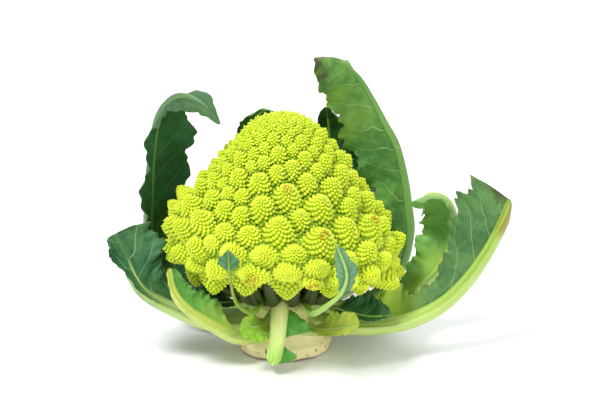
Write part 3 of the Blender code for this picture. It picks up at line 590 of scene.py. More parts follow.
def buds_tree():
    """The node tree that stands a bud on every site, turned and sized by the site's own attributes."""
    tree = bpy.data.node_groups.new("Buds on their sites", "GeometryNodeTree")
    sockets = {
        "Geometry": "Geometry", "Bud": "Object", "Width": "Float", "Unevenness": "Float", "Seed": "Int",
        "Material": "Material",
    }
    for name, kind in sockets.items():
        tree.interface.new_socket(name, in_out="INPUT", socket_type=f"NodeSocket{kind}")
    tree.interface.new_socket("Geometry", in_out="OUTPUT", socket_type="NodeSocketGeometry")
    given = add_node(tree, "NodeGroupInput").outputs

    def add(kind, output, fed, **settings):
        return add_node(tree, kind, fed, **settings).outputs[output]

    def of_two(operation, first, second):
        return add("ShaderNodeMath", 0, {0: first, 1: second}, operation=operation)

    bud = add("GeometryNodeObjectInfo", "Geometry", {"Object": given["Bud"]})
    facing = add("GeometryNodeInputNamedAttribute", "Attribute", {"Name": "facing"}, data_type="FLOAT_VECTOR")
    upright = add("FunctionNodeAlignRotationToVector", "Rotation", {"Vector": facing}, axis="Z")
    turn = add("FunctionNodeRandomValue", 1, {"Max": FULL_TURN, "Seed": given["Seed"]}, data_type="FLOAT")
    spin = add("FunctionNodeAxisAngleToRotation", "Rotation", {"Angle": turn})
    turned = {"Rotation": upright, "Rotate By": spin}
    turned = add("FunctionNodeRotateRotation", "Rotation", turned, rotation_space="LOCAL")
    least, most = (of_two(operation, 1.0, given["Unevenness"]) for operation in ("SUBTRACT", "ADD"))
    uneven = {"Min": least, "Max": most, "Seed": given["Seed"]}
    uneven = add("FunctionNodeRandomValue", 1, uneven, data_type="FLOAT")
    width = add("GeometryNodeInputNamedAttribute", "Attribute", {"Name": "width"}, data_type="FLOAT")
    size = of_two("MULTIPLY", of_two("MULTIPLY", width, uneven), given["Width"])
    stood = {"Points": given["Geometry"], "Instance": bud, "Rotation": turned, "Scale": size}
    stood = add("GeometryNodeInstanceOnPoints", "Instances", stood)
    real = add("GeometryNodeRealizeInstances", "Geometry", {"Geometry": stood})
    soft = add("GeometryNodeSetShadeSmooth", "Geometry", {"Geometry": real})
    painted = add("GeometryNodeSetMaterial", "Geometry", {"Geometry": soft, "Material": given["Material"]})
    add_node(tree, "NodeGroupOutput", {"Geometry": painted})
    return tree


def grown(obj, tree, **inputs):
    """The plain mesh that a node tree makes of an object. The modifier is gone afterwards."""
    modifier = obj.modifiers.new(tree.name, "NODES")
    modifier.node_group = tree
    for socket in tree.interface.items_tree:
        if socket.in_out == "INPUT" and socket.name in inputs:
            modifier[socket.identifier] = inputs[socket.name]
    graph = bpy.context.evaluated_depsgraph_get()
    mesh = bpy.data.meshes.new_from_object(obj.evaluated_get(graph))
    obj.modifiers.remove(modifier)
    return mesh


def rusty(tips):
    """Which florets have a rusty tip: the ones nearest to where such tips are."""
    return sorted({int(np.linalg.norm(tips - np.array(spot), axis=1).argmin()) for spot in RUSTY_TIPS})


def make_curd(paint):
    dome = Dome()
    places, tips, radii, stands_out = floret_sites(dome)
    wanted, points, facing, width, share, near_next, owner = bud_sites(dome, places, tips, radii, stands_out)
    # How far each bud lies in the painted shade of the valley between florets, more on larger florets
    valley = smooth_step(near_next, VALLEY_SHADE_FROM, 1.0) * smooth_step(radii[owner], *VALLEY_SHADE_RADII)
    rust = np.isin(owner, rusty(tips)) * (1.0 - smooth_step(share, *RUST_FADES))
    make_skin(paint, dome, wanted, points - SKIN_DEPTH * width[:, None] * facing, valley)
    bud = link_object("bud shape", bud_shape())
    inputs = dict(Bud=bud, Width=BUD_FULLNESS, Unevenness=BUD_UNEVENNESS, Material=paint)
    tree = buds_tree()
    order = np.argsort(np.arctan2(points[:, 1], points[:, 0]))
    for number, chosen in enumerate(np.array_split(order, CURD_SECTORS)):
        sites = new_mesh("bud sites", points[chosen])
        ahead = sites.attributes.new("facing", "FLOAT_VECTOR", "POINT")
        ahead.data.foreach_set("vector", facing[chosen].ravel())
        for name, values in (("width", width), ("valley", valley), ("rust", rust)):
            note(sites, name, values[chosen])
        piece = link_object(f"buds_{number + 1}", sites)
        piece.data = grown(piece, tree, Seed=number, **inputs)
        dress(piece, "curd", "curd")
    bpy.data.objects.remove(bud)


def make_skin(paint, dome, wanted, points, valley):
    """The skin that the buds stand on, closed below by the flat that rests on the stalk."""
    turns = [FULL_TURN * k / CORE_SIDES for k in range(CORE_SIDES)]
    ring = np.array([(math.cos(a), math.sin(a)) for a in turns])
    flat = np.concatenate([wanted, UNDERSIDE_MAP * dome.map_radius[-1] * ring])
    rim = np.column_stack([CORE_FLAT_RADIUS * ring, np.full(CORE_SIDES, CORE_FLAT_HEIGHT)])
    faces = [tuple(c) for c in delaunay_2d_cdt([Vector(place) for place in flat], [], [], 0, TINY)[2]]
    first = len(wanted)
    faces += [(first + (k + 1) % CORE_SIDES, first + k, first + CORE_SIDES) for k in range(CORE_SIDES)]
    mesh = new_mesh("curd_skin", np.vstack([points, rim, [CORE_FLAT_HEIGHT * UP]]), faces)
    # With no bud height noted, the skin is painted crevice shade, deepest (valley shade) at its rim and flat
    note(mesh, "valley", np.concatenate([valley, np.ones(CORE_SIDES + 1)]))
    make_piece(mesh, paint, "curd", "curd")


# The leaves
class Leaf:
    """One leaf's measures, and its tones over the plain ones."""

    def __init__(
        self, name, rib, face, left, right, stalk, wave, blade, fold=(20, 20), curl=(10, 10), rib_end=0.88,
        sweep=0.0, taper=TIP_ROUNDING, **tone
    ):
        self.name, self.face, self.blade, self.rib_end = name, face, blade, rib_end
        self.fold, self.curl, self.sweep, self.taper = fold, curl, sweep, taper
        self.line, self.along = line_through(np.array(rib))
        self.length = self.along[-1]
        self.halves = [np.array(half) for half in (left, right)]
        self.widest = max(left + right)
        self.vein_gap = self.widest * VEIN_GAP
        self.stalk = np.array(stalk)
        self.wave_height, self.waves = wave
        tone = {
            part: shade(*value) if isinstance(value, tuple) and len(value) == 3 else value
            for part, value in (PLAIN_TONE | tone).items()
        }
        self.tone = SimpleNamespace(**tone)

    def frames(self, shares):
        """The rib's centres, directions, the inner face's directions and the ways to the right half."""
        distance = shares * self.length
        ahead = on_line(self.line, self.along, np.minimum(distance + RIB_STEP, self.length))
        forwards = unit(ahead - on_line(self.line, self.along, np.maximum(distance - RIB_STEP, 0.0)))
        hint = spread(self.face, shares)
        inner = unit(hint - forwards * (hint * forwards).sum(axis=-1, keepdims=True))
        return on_line(self.line, self.along, distance), forwards, inner, np.cross(forwards, inner)

    def on_blade(self, share):
        """The share of the rib's line as a share of the blade's."""
        return (share - self.blade) / (1.0 - self.blade)

    def stalk_size(self, shares):
        wide, deep, end_wide, end_deep = self.stalk
        fade = np.minimum(1.0, shares / self.rib_end) ** RIB_TAPER
        return wide + (end_wide - wide) * fade, deep + (end_deep - deep) * fade

    def half_width(self, shares, half, phase):
        """The half blade's width: the solid's, drawn in where it starts and ends, with fine teeth."""
        grown_share = self.on_blade(shares)
        turn = FULL_TURN * self.waves * np.maximum(grown_share, 0.0)
        wide = spread(self.halves[half], grown_share)[:, 0]
        wide = wide * (1.0 + MARGIN_LOBES * np.sin(LOBES_PER_WAVE * turn + FULL_TURN * LOBES_AT[half]))
        teeth = sum(height * np.sin(count * turn + shift * phase) for count, shift, height in SMOOTH_TEETH)
        count, shift, height = JAGGED_TEETH
        teeth = teeth + height * (np.sqrt(np.abs(np.sin(count * turn + shift * phase))) - JAGGED_MIDDLE)
        wide = wide + np.minimum(self.tone.tooth, MOST_TOOTH * wide) * teeth
        start = smooth_step(shares, self.blade - LEAD_IN, self.blade + LEAD_IN_PAST * LEAD_IN)
        end = np.sqrt(np.clip((1.0 - shares) / self.taper, 0.0, 1.0))
        ends = (START_WIDTH + (1.0 - START_WIDTH) * start) * (TIP_WIDTH + (1.0 - TIP_WIDTH) * end)
        return np.maximum(wide * ends, LEAST_WIDTH)


# rib: the rib's line from the stem to the tip. face: which way the inner face looks, from base to tip.
# left and right: the blade's half widths, from where it starts to the tip, seen from the inner face.
# fold and curl: how far each half turns up at the rib, and how much more by its margin, in degrees.
# blade and rib_end: the shares of the line where the blade starts and where the rib runs out.
# stalk: the rib's width and depth at the stem and at its end. wave: the margin's waves, as (height, count).
# sweep: how far the blade's cross-sections reach forwards, as a share of their width.
# taper: the share of the line over which the blade narrows to its tip.
LEAVES = [
    Leaf("right",
        rib=[(0.017, -0.01, 0.0262), (0.041, -0.02, 0.0245), (0.06, -0.024, 0.0255), (0.0785, -0.024, 0.029),
            (0.097, -0.022, 0.038), (0.112, -0.02, 0.0525), (0.124, -0.018, 0.07), (0.133, -0.015, 0.087),
            (0.139, -0.012, 0.101)],
        face=[(-0.1, -0.1, 1), (-0.4, -0.25, 0.95), (-0.75, -0.35, 0.6), (-0.8, -0.55, 0.3)],
        left=(0.01, 0.025, 0.017, 0.015, 0.019, 0.027, 0.031, 0.029, 0.025), right=(0.003,) * 9,
        fold=(38, 35), curl=(16, 10), blade=0.18, rib_end=1, stalk=(0.0155, 0.01, 0.0075, 0.0055),
        wave=(0.003, 5), sweep=0.45,
        inner=(58, 100, 54), inner_light=(86, 128, 70), foot=0.44, yellowing=0.15, yellow=(178, 212, 56),
        midrib=(206, 224, 128), midrib_end=(158, 190, 80), dry=0.7, bare_rib=0.0034, scar_from=0.83,
        withered_from=0.96, tooth=0.0022,
    ),
    Leaf("tall_right",
        rib=[(0.017, 0.011, 0.0172), (0.045, 0.03, 0.018), (0.07, 0.042, 0.034), (0.079, 0.045, 0.06),
            (0.078, 0.046, 0.081), (0.075, 0.046, 0.102), (0.07, 0.043, 0.122), (0.063, 0.04, 0.136),
            (0.0545, 0.036, 0.153), (0.0455, 0.028, 0.169), (0.034, 0.016, 0.1805), (0.019, 0.001, 0.184)],
        face=[(-0.1, -0.1, 1), (-0.8, -0.1, 0.6), (-1, 0.1, 0.1), (-0.95, 0.25, -0.2), (-0.5, 0.6, -0.7)],
        left=(0.006, 0.018, 0.026, 0.028, 0.027, 0.022, 0.014, 0.008, 0.006),
        right=(0.006, 0.012, 0.018, 0.025, 0.029, 0.027, 0.024, 0.021, 0.012), fold=(22, 58),
        curl=(20, 8), blade=0.24, stalk=(0.013, 0.009, 0.0024, 0.0018), wave=(0.0026, 5),
        inner=(56, 106, 38), inner_light=(88, 140, 52), outer=(60, 110, 40), outer_light=(96, 146, 56),
        yellow=(146, 182, 62), yellowing=0.35, vein=(150, 186, 116), dry=0.6, withered_from=0.93,
        tooth=0.0024, midrib=(114, 162, 78), midrib_end=(94, 144, 56), streak=(106, 154, 68),
    ),
    Leaf("tall_left",
        rib=[(-0.018, 0.008, 0.03), (-0.048, 0.017, 0.022), (-0.074, 0.022, 0.037), (-0.0845, 0.023, 0.066),
            (-0.084, 0.023, 0.096), (-0.082, 0.021, 0.122), (-0.077, 0.016, 0.146), (-0.065, 0.008, 0.16),
            (-0.05, 0, 0.158), (-0.039, -0.006, 0.147)],
        face=[(0.1, 0, 1), (0.8, -0.3, 0.5), (0.85, -0.5, 0), (0.75, -0.45, -0.3), (-0.1, 0.75, -0.7)],
        left=(0.005, 0.012, 0.016, 0.017, 0.016, 0.013, 0.012, 0.011, 0.004),
        right=(0.006, 0.019, 0.024, 0.026, 0.028, 0.027, 0.019, 0.012, 0.004), fold=(14, 4), curl=(10, 21),
        blade=0.24, rib_end=0.9, stalk=(0.013, 0.009, 0.0034, 0.0026), wave=(0.0028, 5), taper=0.16,
        inner=(28, 76, 46), inner_light=(42, 96, 56), outer=(48, 84, 50), outer_light=(64, 104, 62),
        vein=(96, 134, 90), midrib=(92, 128, 74), midrib_end=(82, 120, 74), streak=(96, 134, 80),
    ),
    Leaf("left",
        rib=[(-0.018, -0.008, 0.0225), (-0.044, -0.021, 0.0265), (-0.064, -0.028, 0.0355),
            (-0.0825, -0.031, 0.0465), (-0.0905, -0.031, 0.0575), (-0.0965, -0.026, 0.069),
            (-0.104, -0.02, 0.081)],
        face=[(0.1, -0.1, 1), (0.4, -0.3, 0.9), (0.7, -0.45, 0.6), (0.6, -0.7, 0.4)],
        left=(0.003, 0.003, 0.003, 0.004, 0.009, 0.016, 0.008),
        right=(0.006, 0.016, 0.02, 0.018, 0.021, 0.025, 0.014), fold=(20, 24), curl=(6, 14), blade=0.26,
        rib_end=0.8, stalk=(0.015, 0.01, 0.008, 0.0056), wave=(0.0022, 4), sweep=0.2,
        inner=(36, 86, 54), inner_light=(54, 108, 66), foot=0.2, bare_rib=0.003, tooth=0.0034,
        midrib_end=(78, 118, 70), rib_fade=(0.4, 0.75),
    ),
    Leaf("front_left",
        rib=[(-0.01, -0.019, 0.0185), (-0.027, -0.037, 0.0215), (-0.043, -0.043, 0.031),
            (-0.057, -0.0455, 0.0415), (-0.0655, -0.0445, 0.0525), (-0.069, -0.04, 0.065)],
        face=[(0, 0, 1), (0.4, -0.3, 0.8), (0.7, -0.4, 0.6), (0.6, -0.7, 0.3)],
        left=(0.003,) * 6, right=(0.005, 0.013, 0.016, 0.0125, 0.0085, 0.006), fold=(30, 26), curl=(5, 6),
        blade=0.34, rib_end=0.84, stalk=(0.011, 0.008, 0.0055, 0.004), wave=(0.0012, 3),
        inner=(70, 130, 54), inner_light=(100, 160, 62), yellowing=0.45, foot=0.3, yellow=(186, 206, 84),
        midrib=(204, 220, 116), midrib_end=(196, 206, 92), bare_rib=0.0026,
    ),
    Leaf("front",
        rib=[(-0.001, -0.016, 0.0375), (-0.002, -0.034, 0.0385), (-0.003, -0.044, 0.031),
            (-0.0045, -0.0475, 0.019), (-0.007, -0.0465, 0.006)],
        face=[(0, 0.1, -1), (0, 0.7, -0.7), (-0.05, 1, -0.1), (-0.05, 1, 0.1)],
        left=(0.005, 0.005, 0.005, 0.005, 0.005, 0.005, 0.003),
        right=(0.006, 0.016, 0.019, 0.006, 0.006, 0.014, 0.006), fold=(8, 16), curl=(0, -12), blade=0.36,
        rib_end=1, stalk=(0.012, 0.008, 0.0095, 0.006), wave=(0.001, 2),
        inner=(60, 136, 42), inner_light=(86, 160, 54), outer=(60, 136, 42), outer_light=(86, 160, 54),
        foot=0.02, midrib=(232, 236, 160), midrib_end=(150, 204, 62), streak=(214, 230, 132),
        rib_fade=(0.45, 0.95),
    ),
    Leaf("front_right",
        rib=[(0.011, -0.017, 0.021), (0.022, -0.036, 0.025), (0.033, -0.045, 0.029), (0.046, -0.049, 0.0335)],
        face=[(0, -0.2, 1), (0, -0.6, 0.8), (0, -0.8, 0.6)],
        left=(0.004, 0.008, 0.01, 0.009, 0.006), right=(0.003, 0.005, 0.006, 0.005, 0.003), fold=(22, 10),
        curl=(10, 5), blade=0.3, rib_end=0.8, stalk=(0.01, 0.0065, 0.004, 0.003), wave=(0.0012, 2),
        inner=(136, 182, 48), inner_light=(168, 202, 68), outer=(136, 182, 52), outer_light=(168, 202, 76),
        yellow=(206, 196, 84), yellowing=0.6, foot=0.4, vein=(206, 222, 130),
    ),
    Leaf("right_curled",
        rib=[(0.019, 0.004, 0.033), (0.048, 0.012, 0.024), (0.074, 0.014, 0.029), (0.0905, 0.016, 0.039),
            (0.101, 0.018, 0.052), (0.107, 0.02, 0.066), (0.108, 0.02, 0.078), (0.103, 0.018, 0.09),
            (0.092, 0.013, 0.096), (0.08, 0.007, 0.0935)],
        face=[(0, 0, 1), (-0.6, -0.2, 0.8), (-0.9, -0.35, 0.2), (-0.7, -0.6, -0.4), (0.1, -0.5, -0.9)],
        left=(0.006, 0.014, 0.02, 0.022, 0.021, 0.016, 0.008),
        right=(0.005, 0.008, 0.01, 0.013, 0.013, 0.009, 0.005), fold=(26, 30), curl=(12, 20), blade=0.3,
        stalk=(0.012, 0.0085, 0.0036, 0.0028), wave=(0.0024, 4),
        inner=(100, 154, 74), inner_light=(128, 178, 84), outer=(108, 152, 84), outer_light=(132, 176, 96),
        yellow=(188, 212, 76), yellowing=0.35, midrib=(190, 208, 110), midrib_end=(168, 196, 84),
    ),
    Leaf("back_right",
        rib=[(0.006, 0.018, 0.032), (0.016, 0.05, 0.029), (0.026, 0.079, 0.048), (0.031, 0.086, 0.078),
            (0.031, 0.081, 0.106), (0.029, 0.072, 0.128), (0.027, 0.061, 0.143)],
        face=[(0, -0.1, 1), (-0.1, -0.8, 0.5), (-0.2, -1, 0), (-0.2, -0.9, -0.3)],
        left=(0.006, 0.024, 0.03, 0.028, 0.02, 0.012, 0.003),
        right=(0.006, 0.024, 0.032, 0.034, 0.03, 0.019, 0.004), fold=(12, 10), curl=(14, 12), blade=0.26,
        stalk=(0.012, 0.0085, 0.0034, 0.0026), wave=(0.0028, 4),
    ),
    Leaf("back_left",
        rib=[(-0.009, 0.017, 0.032), (-0.022, 0.052, 0.029), (-0.031, 0.079, 0.048), (-0.033, 0.083, 0.08),
            (-0.029, 0.075, 0.108), (-0.022, 0.066, 0.13), (-0.014, 0.054, 0.142), (-0.004, 0.043, 0.143)],
        face=[(0, -0.1, 1), (0.1, -0.8, 0.5), (0.3, -1, 0), (0.2, -0.7, -0.7)],
        left=(0.006, 0.02, 0.024, 0.016, 0.01, 0.008, 0.003),
        right=(0.006, 0.02, 0.024, 0.022, 0.018, 0.012, 0.003), fold=(12, 10), curl=(12, 14), blade=0.26,
        stalk=(0.012, 0.0085, 0.0034, 0.0026), wave=(0.0026, 4),
    ),
    Leaf("back",
        rib=[(-0.001, 0.02, 0.017), (0.001, 0.052, 0.0125), (0.003, 0.08, 0.02), (0.004, 0.099, 0.042),
            (0.004, 0.107, 0.068), (0.003, 0.106, 0.086)],
        face=[(0, 0.1, 1), (0, -0.5, 0.9), (0, -1, 0.3), (0, -1, 0)],
        left=(0.006, 0.02, 0.029, 0.03, 0.022, 0.004), right=(0.006, 0.02, 0.028, 0.031, 0.02, 0.004),
        blade=0.3, rib_end=0.86, stalk=(0.015, 0.0105, 0.006, 0.004), wave=(0.0028, 4),
    ),
    Leaf("low_back_left",
        rib=[(-0.015, 0.014, 0.0155), (-0.042, 0.036, 0.012), (-0.064, 0.053, 0.022), (-0.08, 0.062, 0.042),
            (-0.083, 0.062, 0.058)],
        face=[(0, 0, 1), (0.5, -0.4, 0.9), (0.8, -0.6, 0.2)],
        left=(0.005, 0.018, 0.024, 0.02, 0.004), right=(0.005, 0.016, 0.022, 0.018, 0.004), blade=0.34,
        rib_end=0.86, stalk=(0.014, 0.01, 0.006, 0.004), wave=(0.0024, 3),
    ),
    Leaf("low_back_right",
        rib=[(0.0145, 0.0125, 0.034), (0.039, 0.045, 0.023), (0.057, 0.069, 0.03), (0.07, 0.081, 0.048),
            (0.072, 0.082, 0.064)],
        face=[(0, 0, 1), (-0.5, -0.5, 0.9), (-0.7, -0.7, 0.2)],
        left=(0.005, 0.016, 0.02, 0.018, 0.004), right=(0.005, 0.016, 0.022, 0.018, 0.004), blade=0.34,
        rib_end=0.86, stalk=(0.009, 0.0075, 0.0055, 0.0038), wave=(0.0024, 3),
    ),
    Leaf("inner_right",
        rib=[(0.015, -0.012, 0.037), (0.034, -0.026, 0.034), (0.052, -0.036, 0.033), (0.066, -0.041, 0.0355)],
        face=[(0, 0, 1), (0, -0.3, 1), (-0.1, -0.3, 1)],
        left=(0.005, 0.013, 0.016, 0.012, 0.003), right=(0.004, 0.006, 0.007, 0.005, 0.003), fold=(24, 10),
        curl=(16, 5), blade=0.35, rib_end=0.85, stalk=(0.0075, 0.0055, 0.003, 0.0022), wave=(0.0008, 2),
    ),
    Leaf("inner_left",
        rib=[(-0.016, -0.01, 0.036), (-0.036, -0.023, 0.0375), (-0.052, -0.031, 0.0405),
            (-0.063, -0.034, 0.0455)],
        face=[(0, 0, 1), (0.1, -0.3, 1), (0.2, -0.3, 1)],
        left=(0.004, 0.007, 0.007, 0.005, 0.003), right=(0.005, 0.012, 0.0125, 0.0085, 0.003),
        fold=(10, 22), curl=(5, 14), blade=0.35, rib_end=0.85, stalk=(0.007, 0.005, 0.003, 0.0022),
        wave=(0.0008, 2),
    ),
    Leaf("small_front",
        rib=[(-0.006, -0.021, 0.031), (-0.013, -0.038, 0.029), (-0.02, -0.048, 0.031),
            (-0.0245, -0.053, 0.037)],
        face=[(0.1, -0.3, 0.9), (0.2, -0.8, 0.6), (0.2, -0.9, 0.4)],
        left=(0.003, 0.007, 0.0095, 0.009, 0.004), right=(0.003, 0.007, 0.0095, 0.009, 0.004),
        fold=(12, 12), curl=(5, 5), blade=0.36, rib_end=0.8, stalk=(0.0065, 0.0045, 0.0028, 0.002),
        wave=(0.0012, 2),
        inner=(124, 176, 46), inner_light=(156, 196, 62), outer=(128, 178, 56), outer_light=(158, 198, 74),
        yellow=(190, 204, 76), yellowing=0.6, foot=0.5, vein=(190, 214, 110), midrib=(170, 200, 84),
    ),
    Leaf("bract_left",
        rib=[(-0.0095, -0.0165, 0.039), (-0.014, -0.04, 0.043), (-0.019, -0.06, 0.045),
            (-0.027, -0.074, 0.055), (-0.03, -0.0815, 0.07), (-0.0315, -0.0815, 0.09)],
        face=[(0.2, -0.3, 0.9), (0, 0.4, 0.9), (0, 1, 0.2), (0.1, 1, 0)],
        left=(0.002, 0.005, 0.006, 0.004, 0.0015), right=(0.002, 0.005, 0.0065, 0.004, 0.0015),
        fold=(-12, -12), curl=(0, 0), blade=0.88, rib_end=0.95, stalk=(0.0036, 0.0028, 0.0014, 0.0012),
        wave=(0.0008, 2),
        inner=(52, 100, 66), inner_light=(70, 120, 80), outer=(58, 106, 72), outer_light=(78, 128, 88),
        vein=(130, 170, 120), foot=0.02, yellowing=0.05, midrib=(112, 150, 46), midrib_end=(128, 160, 34),
        streak=(120, 156, 44),
    ),
    Leaf("bract_right",
        rib=[(0.009, -0.017, 0.039), (0.013, -0.04, 0.043), (0.018, -0.06, 0.045), (0.026, -0.074, 0.054),
            (0.034, -0.081, 0.064), (0.037, -0.0815, 0.076), (0.031, -0.08, 0.0925)],
        face=[(-0.2, -0.3, 0.9), (0, 0.4, 0.9), (0, 1, 0.2), (-0.1, 1, 0)],
        left=(0.002, 0.005, 0.006, 0.004, 0.0012), right=(0.002, 0.005, 0.0062, 0.004, 0.0012),
        fold=(-14, -14), curl=(0, 0), blade=0.72, rib_end=0.95, stalk=(0.0052, 0.004, 0.0016, 0.0013),
        wave=(0.0006, 2),
        inner=(74, 118, 84), inner_light=(92, 136, 96), outer=(84, 128, 90), outer_light=(104, 148, 104),
        vein=(150, 188, 130), foot=0.02, yellowing=0.05, midrib=(140, 180, 70), midrib_end=(160, 192, 110),
        streak=(160, 194, 84),
    ),
]


def half_sheet(leaf, shares, frames, half, across, phase):
    """One half of the blade's middle sheet, from the rib outwards, with each point's place on the leaf."""
    side = (-1.0, 1.0)[half]
    centre, forwards, inner, right = (part[:, None, :] for part in frames)
    wide = leaf.half_width(shares, half, phase)[:, None]
    rib_half = 0.5 * leaf.stalk_size(shares)[0][:, None] + TOUCH_GAP
    flat = np.minimum(rib_half, MOST_FLAT * wide)
    out = np.linspace(0.0, 1.0, across + 1)[None, :] ** COLUMN_POWER
    middle = 0.5 * (out[:, 1:] + out[:, :-1])

    def part_of(share):
        return np.clip((share * wide - flat) / (wide - flat), 0.0, 1.0)

    def past_rib(share):
        return smooth_step(share * wide, *(part * flat for part in FOLD_BESIDE_RIB))

    def fold(share):
        angle = leaf.fold[half] + leaf.curl[half] * (part_of(share) + CURL_START)
        return (np.radians(angle) * past_rib(share))[..., None]

    heading = np.cos(fold(middle)) * side * right + np.sin(fold(middle)) * inner
    heading = heading + leaf.sweep * past_rib(middle)[..., None] * forwards
    steps = heading * (np.diff(out) * wide)[..., None]
    places = centre + np.concatenate([np.zeros_like(steps[:, :1]), np.cumsum(steps, axis=1)], axis=1)
    normal = np.cos(fold(out)) * inner - np.sin(fold(out)) * side * right
    grown_share = leaf.on_blade(shares)[:, None]
    part = part_of(out)
    ramp = np.clip((wide - rib_half) / WAVES_FROM, 0.0, 1.0)
    wave = np.sin(FULL_TURN * (leaf.waves * grown_share + WAVES_AT[half]))
    lift = leaf.wave_height * ramp * part**WAVE_POWER * wave
    wave = np.sin(FULL_TURN * RUFFLES_PER_WAVE * leaf.waves * grown_share + phase + RUFFLE_SLANT * part)
    ruffle = RUFFLE * ramp * part**3 * wave
    from_rib = out * wide
    vein = (shares[:, None] * leaf.length - VEIN_SLANT * from_rib - VEIN_BEND * from_rib**2) / leaf.vein_gap
    uneven = np.sin(VEIN_UNEVEN_TURNS * grown_share * leaf.waves + VEIN_HALF_PHASE * half)
    vein = vein + 0.5 * half + VEIN_UNEVEN * uneven
    between = 2.0 * np.abs(vein + 0.5 - np.floor(vein + 0.5) - 0.5)
    pucker = smooth_step(from_rib, FOLD_BESIDE_RIB[0] * flat, PUCKER_WHOLE * flat) * (1.0 - part**4)
    pucker = PUCKER * pucker * np.abs(1.0 - between) ** PUCKER_POWER
    groove = -GROOVE * (1.0 - smooth_step(from_rib, 0.0, GROOVE_REACH * flat))
    places = places + (lift + ruffle - pucker + groove)[..., None] * normal
    edge = (1.0 - out) * wide
    if max(leaf.halves[half]) < NARROWEST_HALF:
        from_rib, edge = 0.0 * from_rib, 0.0 * edge + EDGE_THINNING
    return places, np.stack([vein, from_rib, edge, np.broadcast_to(grown_share, vein.shape)], axis=-1)


def closed_sheet(name, sheet, notes):
    """A thin closed blade about its middle sheet, with its notes for the finish."""
    rows, across = sheet.shape[:2]
    facing = unit(np.cross(np.gradient(sheet, axis=1), np.gradient(sheet, axis=0)))
    whole = smooth_step(notes[..., 2], 0.0, EDGE_THINNING)
    half = (0.5 * BLADE_THICK * (EDGE_SHARE + (1.0 - EDGE_SHARE) * whole))[..., None] * facing
    points = np.concatenate([(sheet + half).reshape(-1, 3), (sheet - half).reshape(-1, 3)])
    other = rows * across
    index = np.arange(other).reshape(rows, across)
    quads = np.stack([index[:-1, :-1], index[:-1, 1:], index[1:, 1:], index[1:, :-1]], axis=-1)
    quads = quads.reshape(-1, 4)
    rim = np.concatenate([index[0], index[1:, -1], index[-1, -2::-1], index[-2:0:-1, 0]])
    after = np.roll(rim, -1)
    walls = np.stack([rim, rim + other, after + other, after], axis=-1)
    mesh = new_mesh(name, points, np.concatenate([quads, quads[:, ::-1] + other, walls]).tolist())
    for column, label in enumerate(SHEET_NOTES):
        note(mesh, label, np.tile(notes[..., column].ravel(), 2))
    note(mesh, "outer", np.repeat([0.0, 1.0], other))
    return mesh


def make_blade(leaf, paint, phase):
    rows = int(leaf.length / LEAF_FACE) + LEAST_ROWS
    across = int(leaf.widest / LEAF_FACE) + LEAST_COLUMNS
    shares = np.linspace(leaf.blade - LEAD_IN, 1.0, rows)
    frames = leaf.frames(shares)
    phases = (phase, phase + HALF_PHASE)
    left, right = (half_sheet(leaf, shares, frames, half, across, phases[half]) for half in (0, 1))
    sheet, notes = (np.concatenate([a[:, ::-1], b[:, 1:]], axis=1) for a, b in zip(left, right))
    make_piece(closed_sheet(f"{leaf.name}_leaf", sheet, notes), paint, "blade", f"{leaf.name}_blade")


def make_rib(leaf, paint):
    """The leaf's stalk and midrib: a fluted tube, round below, whose crest shows on the inner face."""
    shares = np.linspace(0.0, min(1.0, leaf.rib_end + RIB_PAST_END), RIB_ROWS)
    centre, _, inner, right = (part[:, None] for part in leaf.frames(shares))
    close = np.sqrt(np.clip((shares[-1] - shares) / RIB_CLOSING, 0.0, 1.0)) * (1.0 - RIB_TIP) + RIB_TIP
    wide, deep = (size * close for size in leaf.stalk_size(shares))
    turn = np.linspace(0.0, FULL_TURN, RIB_SIDES, endpoint=False)[None, :]
    x = np.cos(turn) * 0.5 * wide[:, None]
    below = np.sin(turn) < 0.0
    flutes = 1.0 + FLUTE_DEPTH * np.cos(FLUTES * turn) * below
    crest = RIB_CREST * (1.0 - smooth_step(np.abs(x), CREST_FLAT * CREST_HALF, CREST_HALF))
    y = np.where(below, np.sin(turn) * (RIB_DROP + deep)[:, None] * flutes, crest * close[:, None])
    mesh = closed_tube(f"{leaf.name}_stalk", centre + x[..., None] * right + y[..., None] * inner)
    note(mesh, "around", np.append(np.broadcast_to(turn / FULL_TURN, y.shape), [0.0, 0.0]))
    note(mesh, "along", np.append(np.broadcast_to(shares[:, None], y.shape), [0.0, shares[-1]]))
    make_piece(mesh, paint, "rib", f"{leaf.name}_rib")


# The stalk
def make_stem(paint):
    """The cut stalk: flat below, a little uneven at the cut, swelling into branches under the curd."""
    line, along = line_through(STEM_LINE)
    outline = on_line(line, along, np.linspace(0.0, along[-1], STEM_ROWS))
    turn = np.linspace(0.0, FULL_TURN, STEM_ROUND, endpoint=False)[None, :]
    ring, z = outline[:, :1], outline[:, 1:]
    rising = np.clip((z - BRANCH_FROM) / (STEM_LINE[-1][1] - BRANCH_FROM), 0.0, 1.0)
    ripple = 1.0 + BRANCH_DEPTH * rising * np.cos(BRANCH_COUNT * turn)
    uneven = sum(
        depth * np.sin(count * turn + shift + twist * z) for depth, count, shift, twist in STEM_UNEVEN
    )
    reach = ring * ripple * (1.0 + uneven)
    rings = np.stack([reach * np.cos(turn), reach * np.sin(turn), z + 0.0 * turn], axis=-1)
    make_piece(closed_tube("stalk", rings), paint, "stem", "stem")


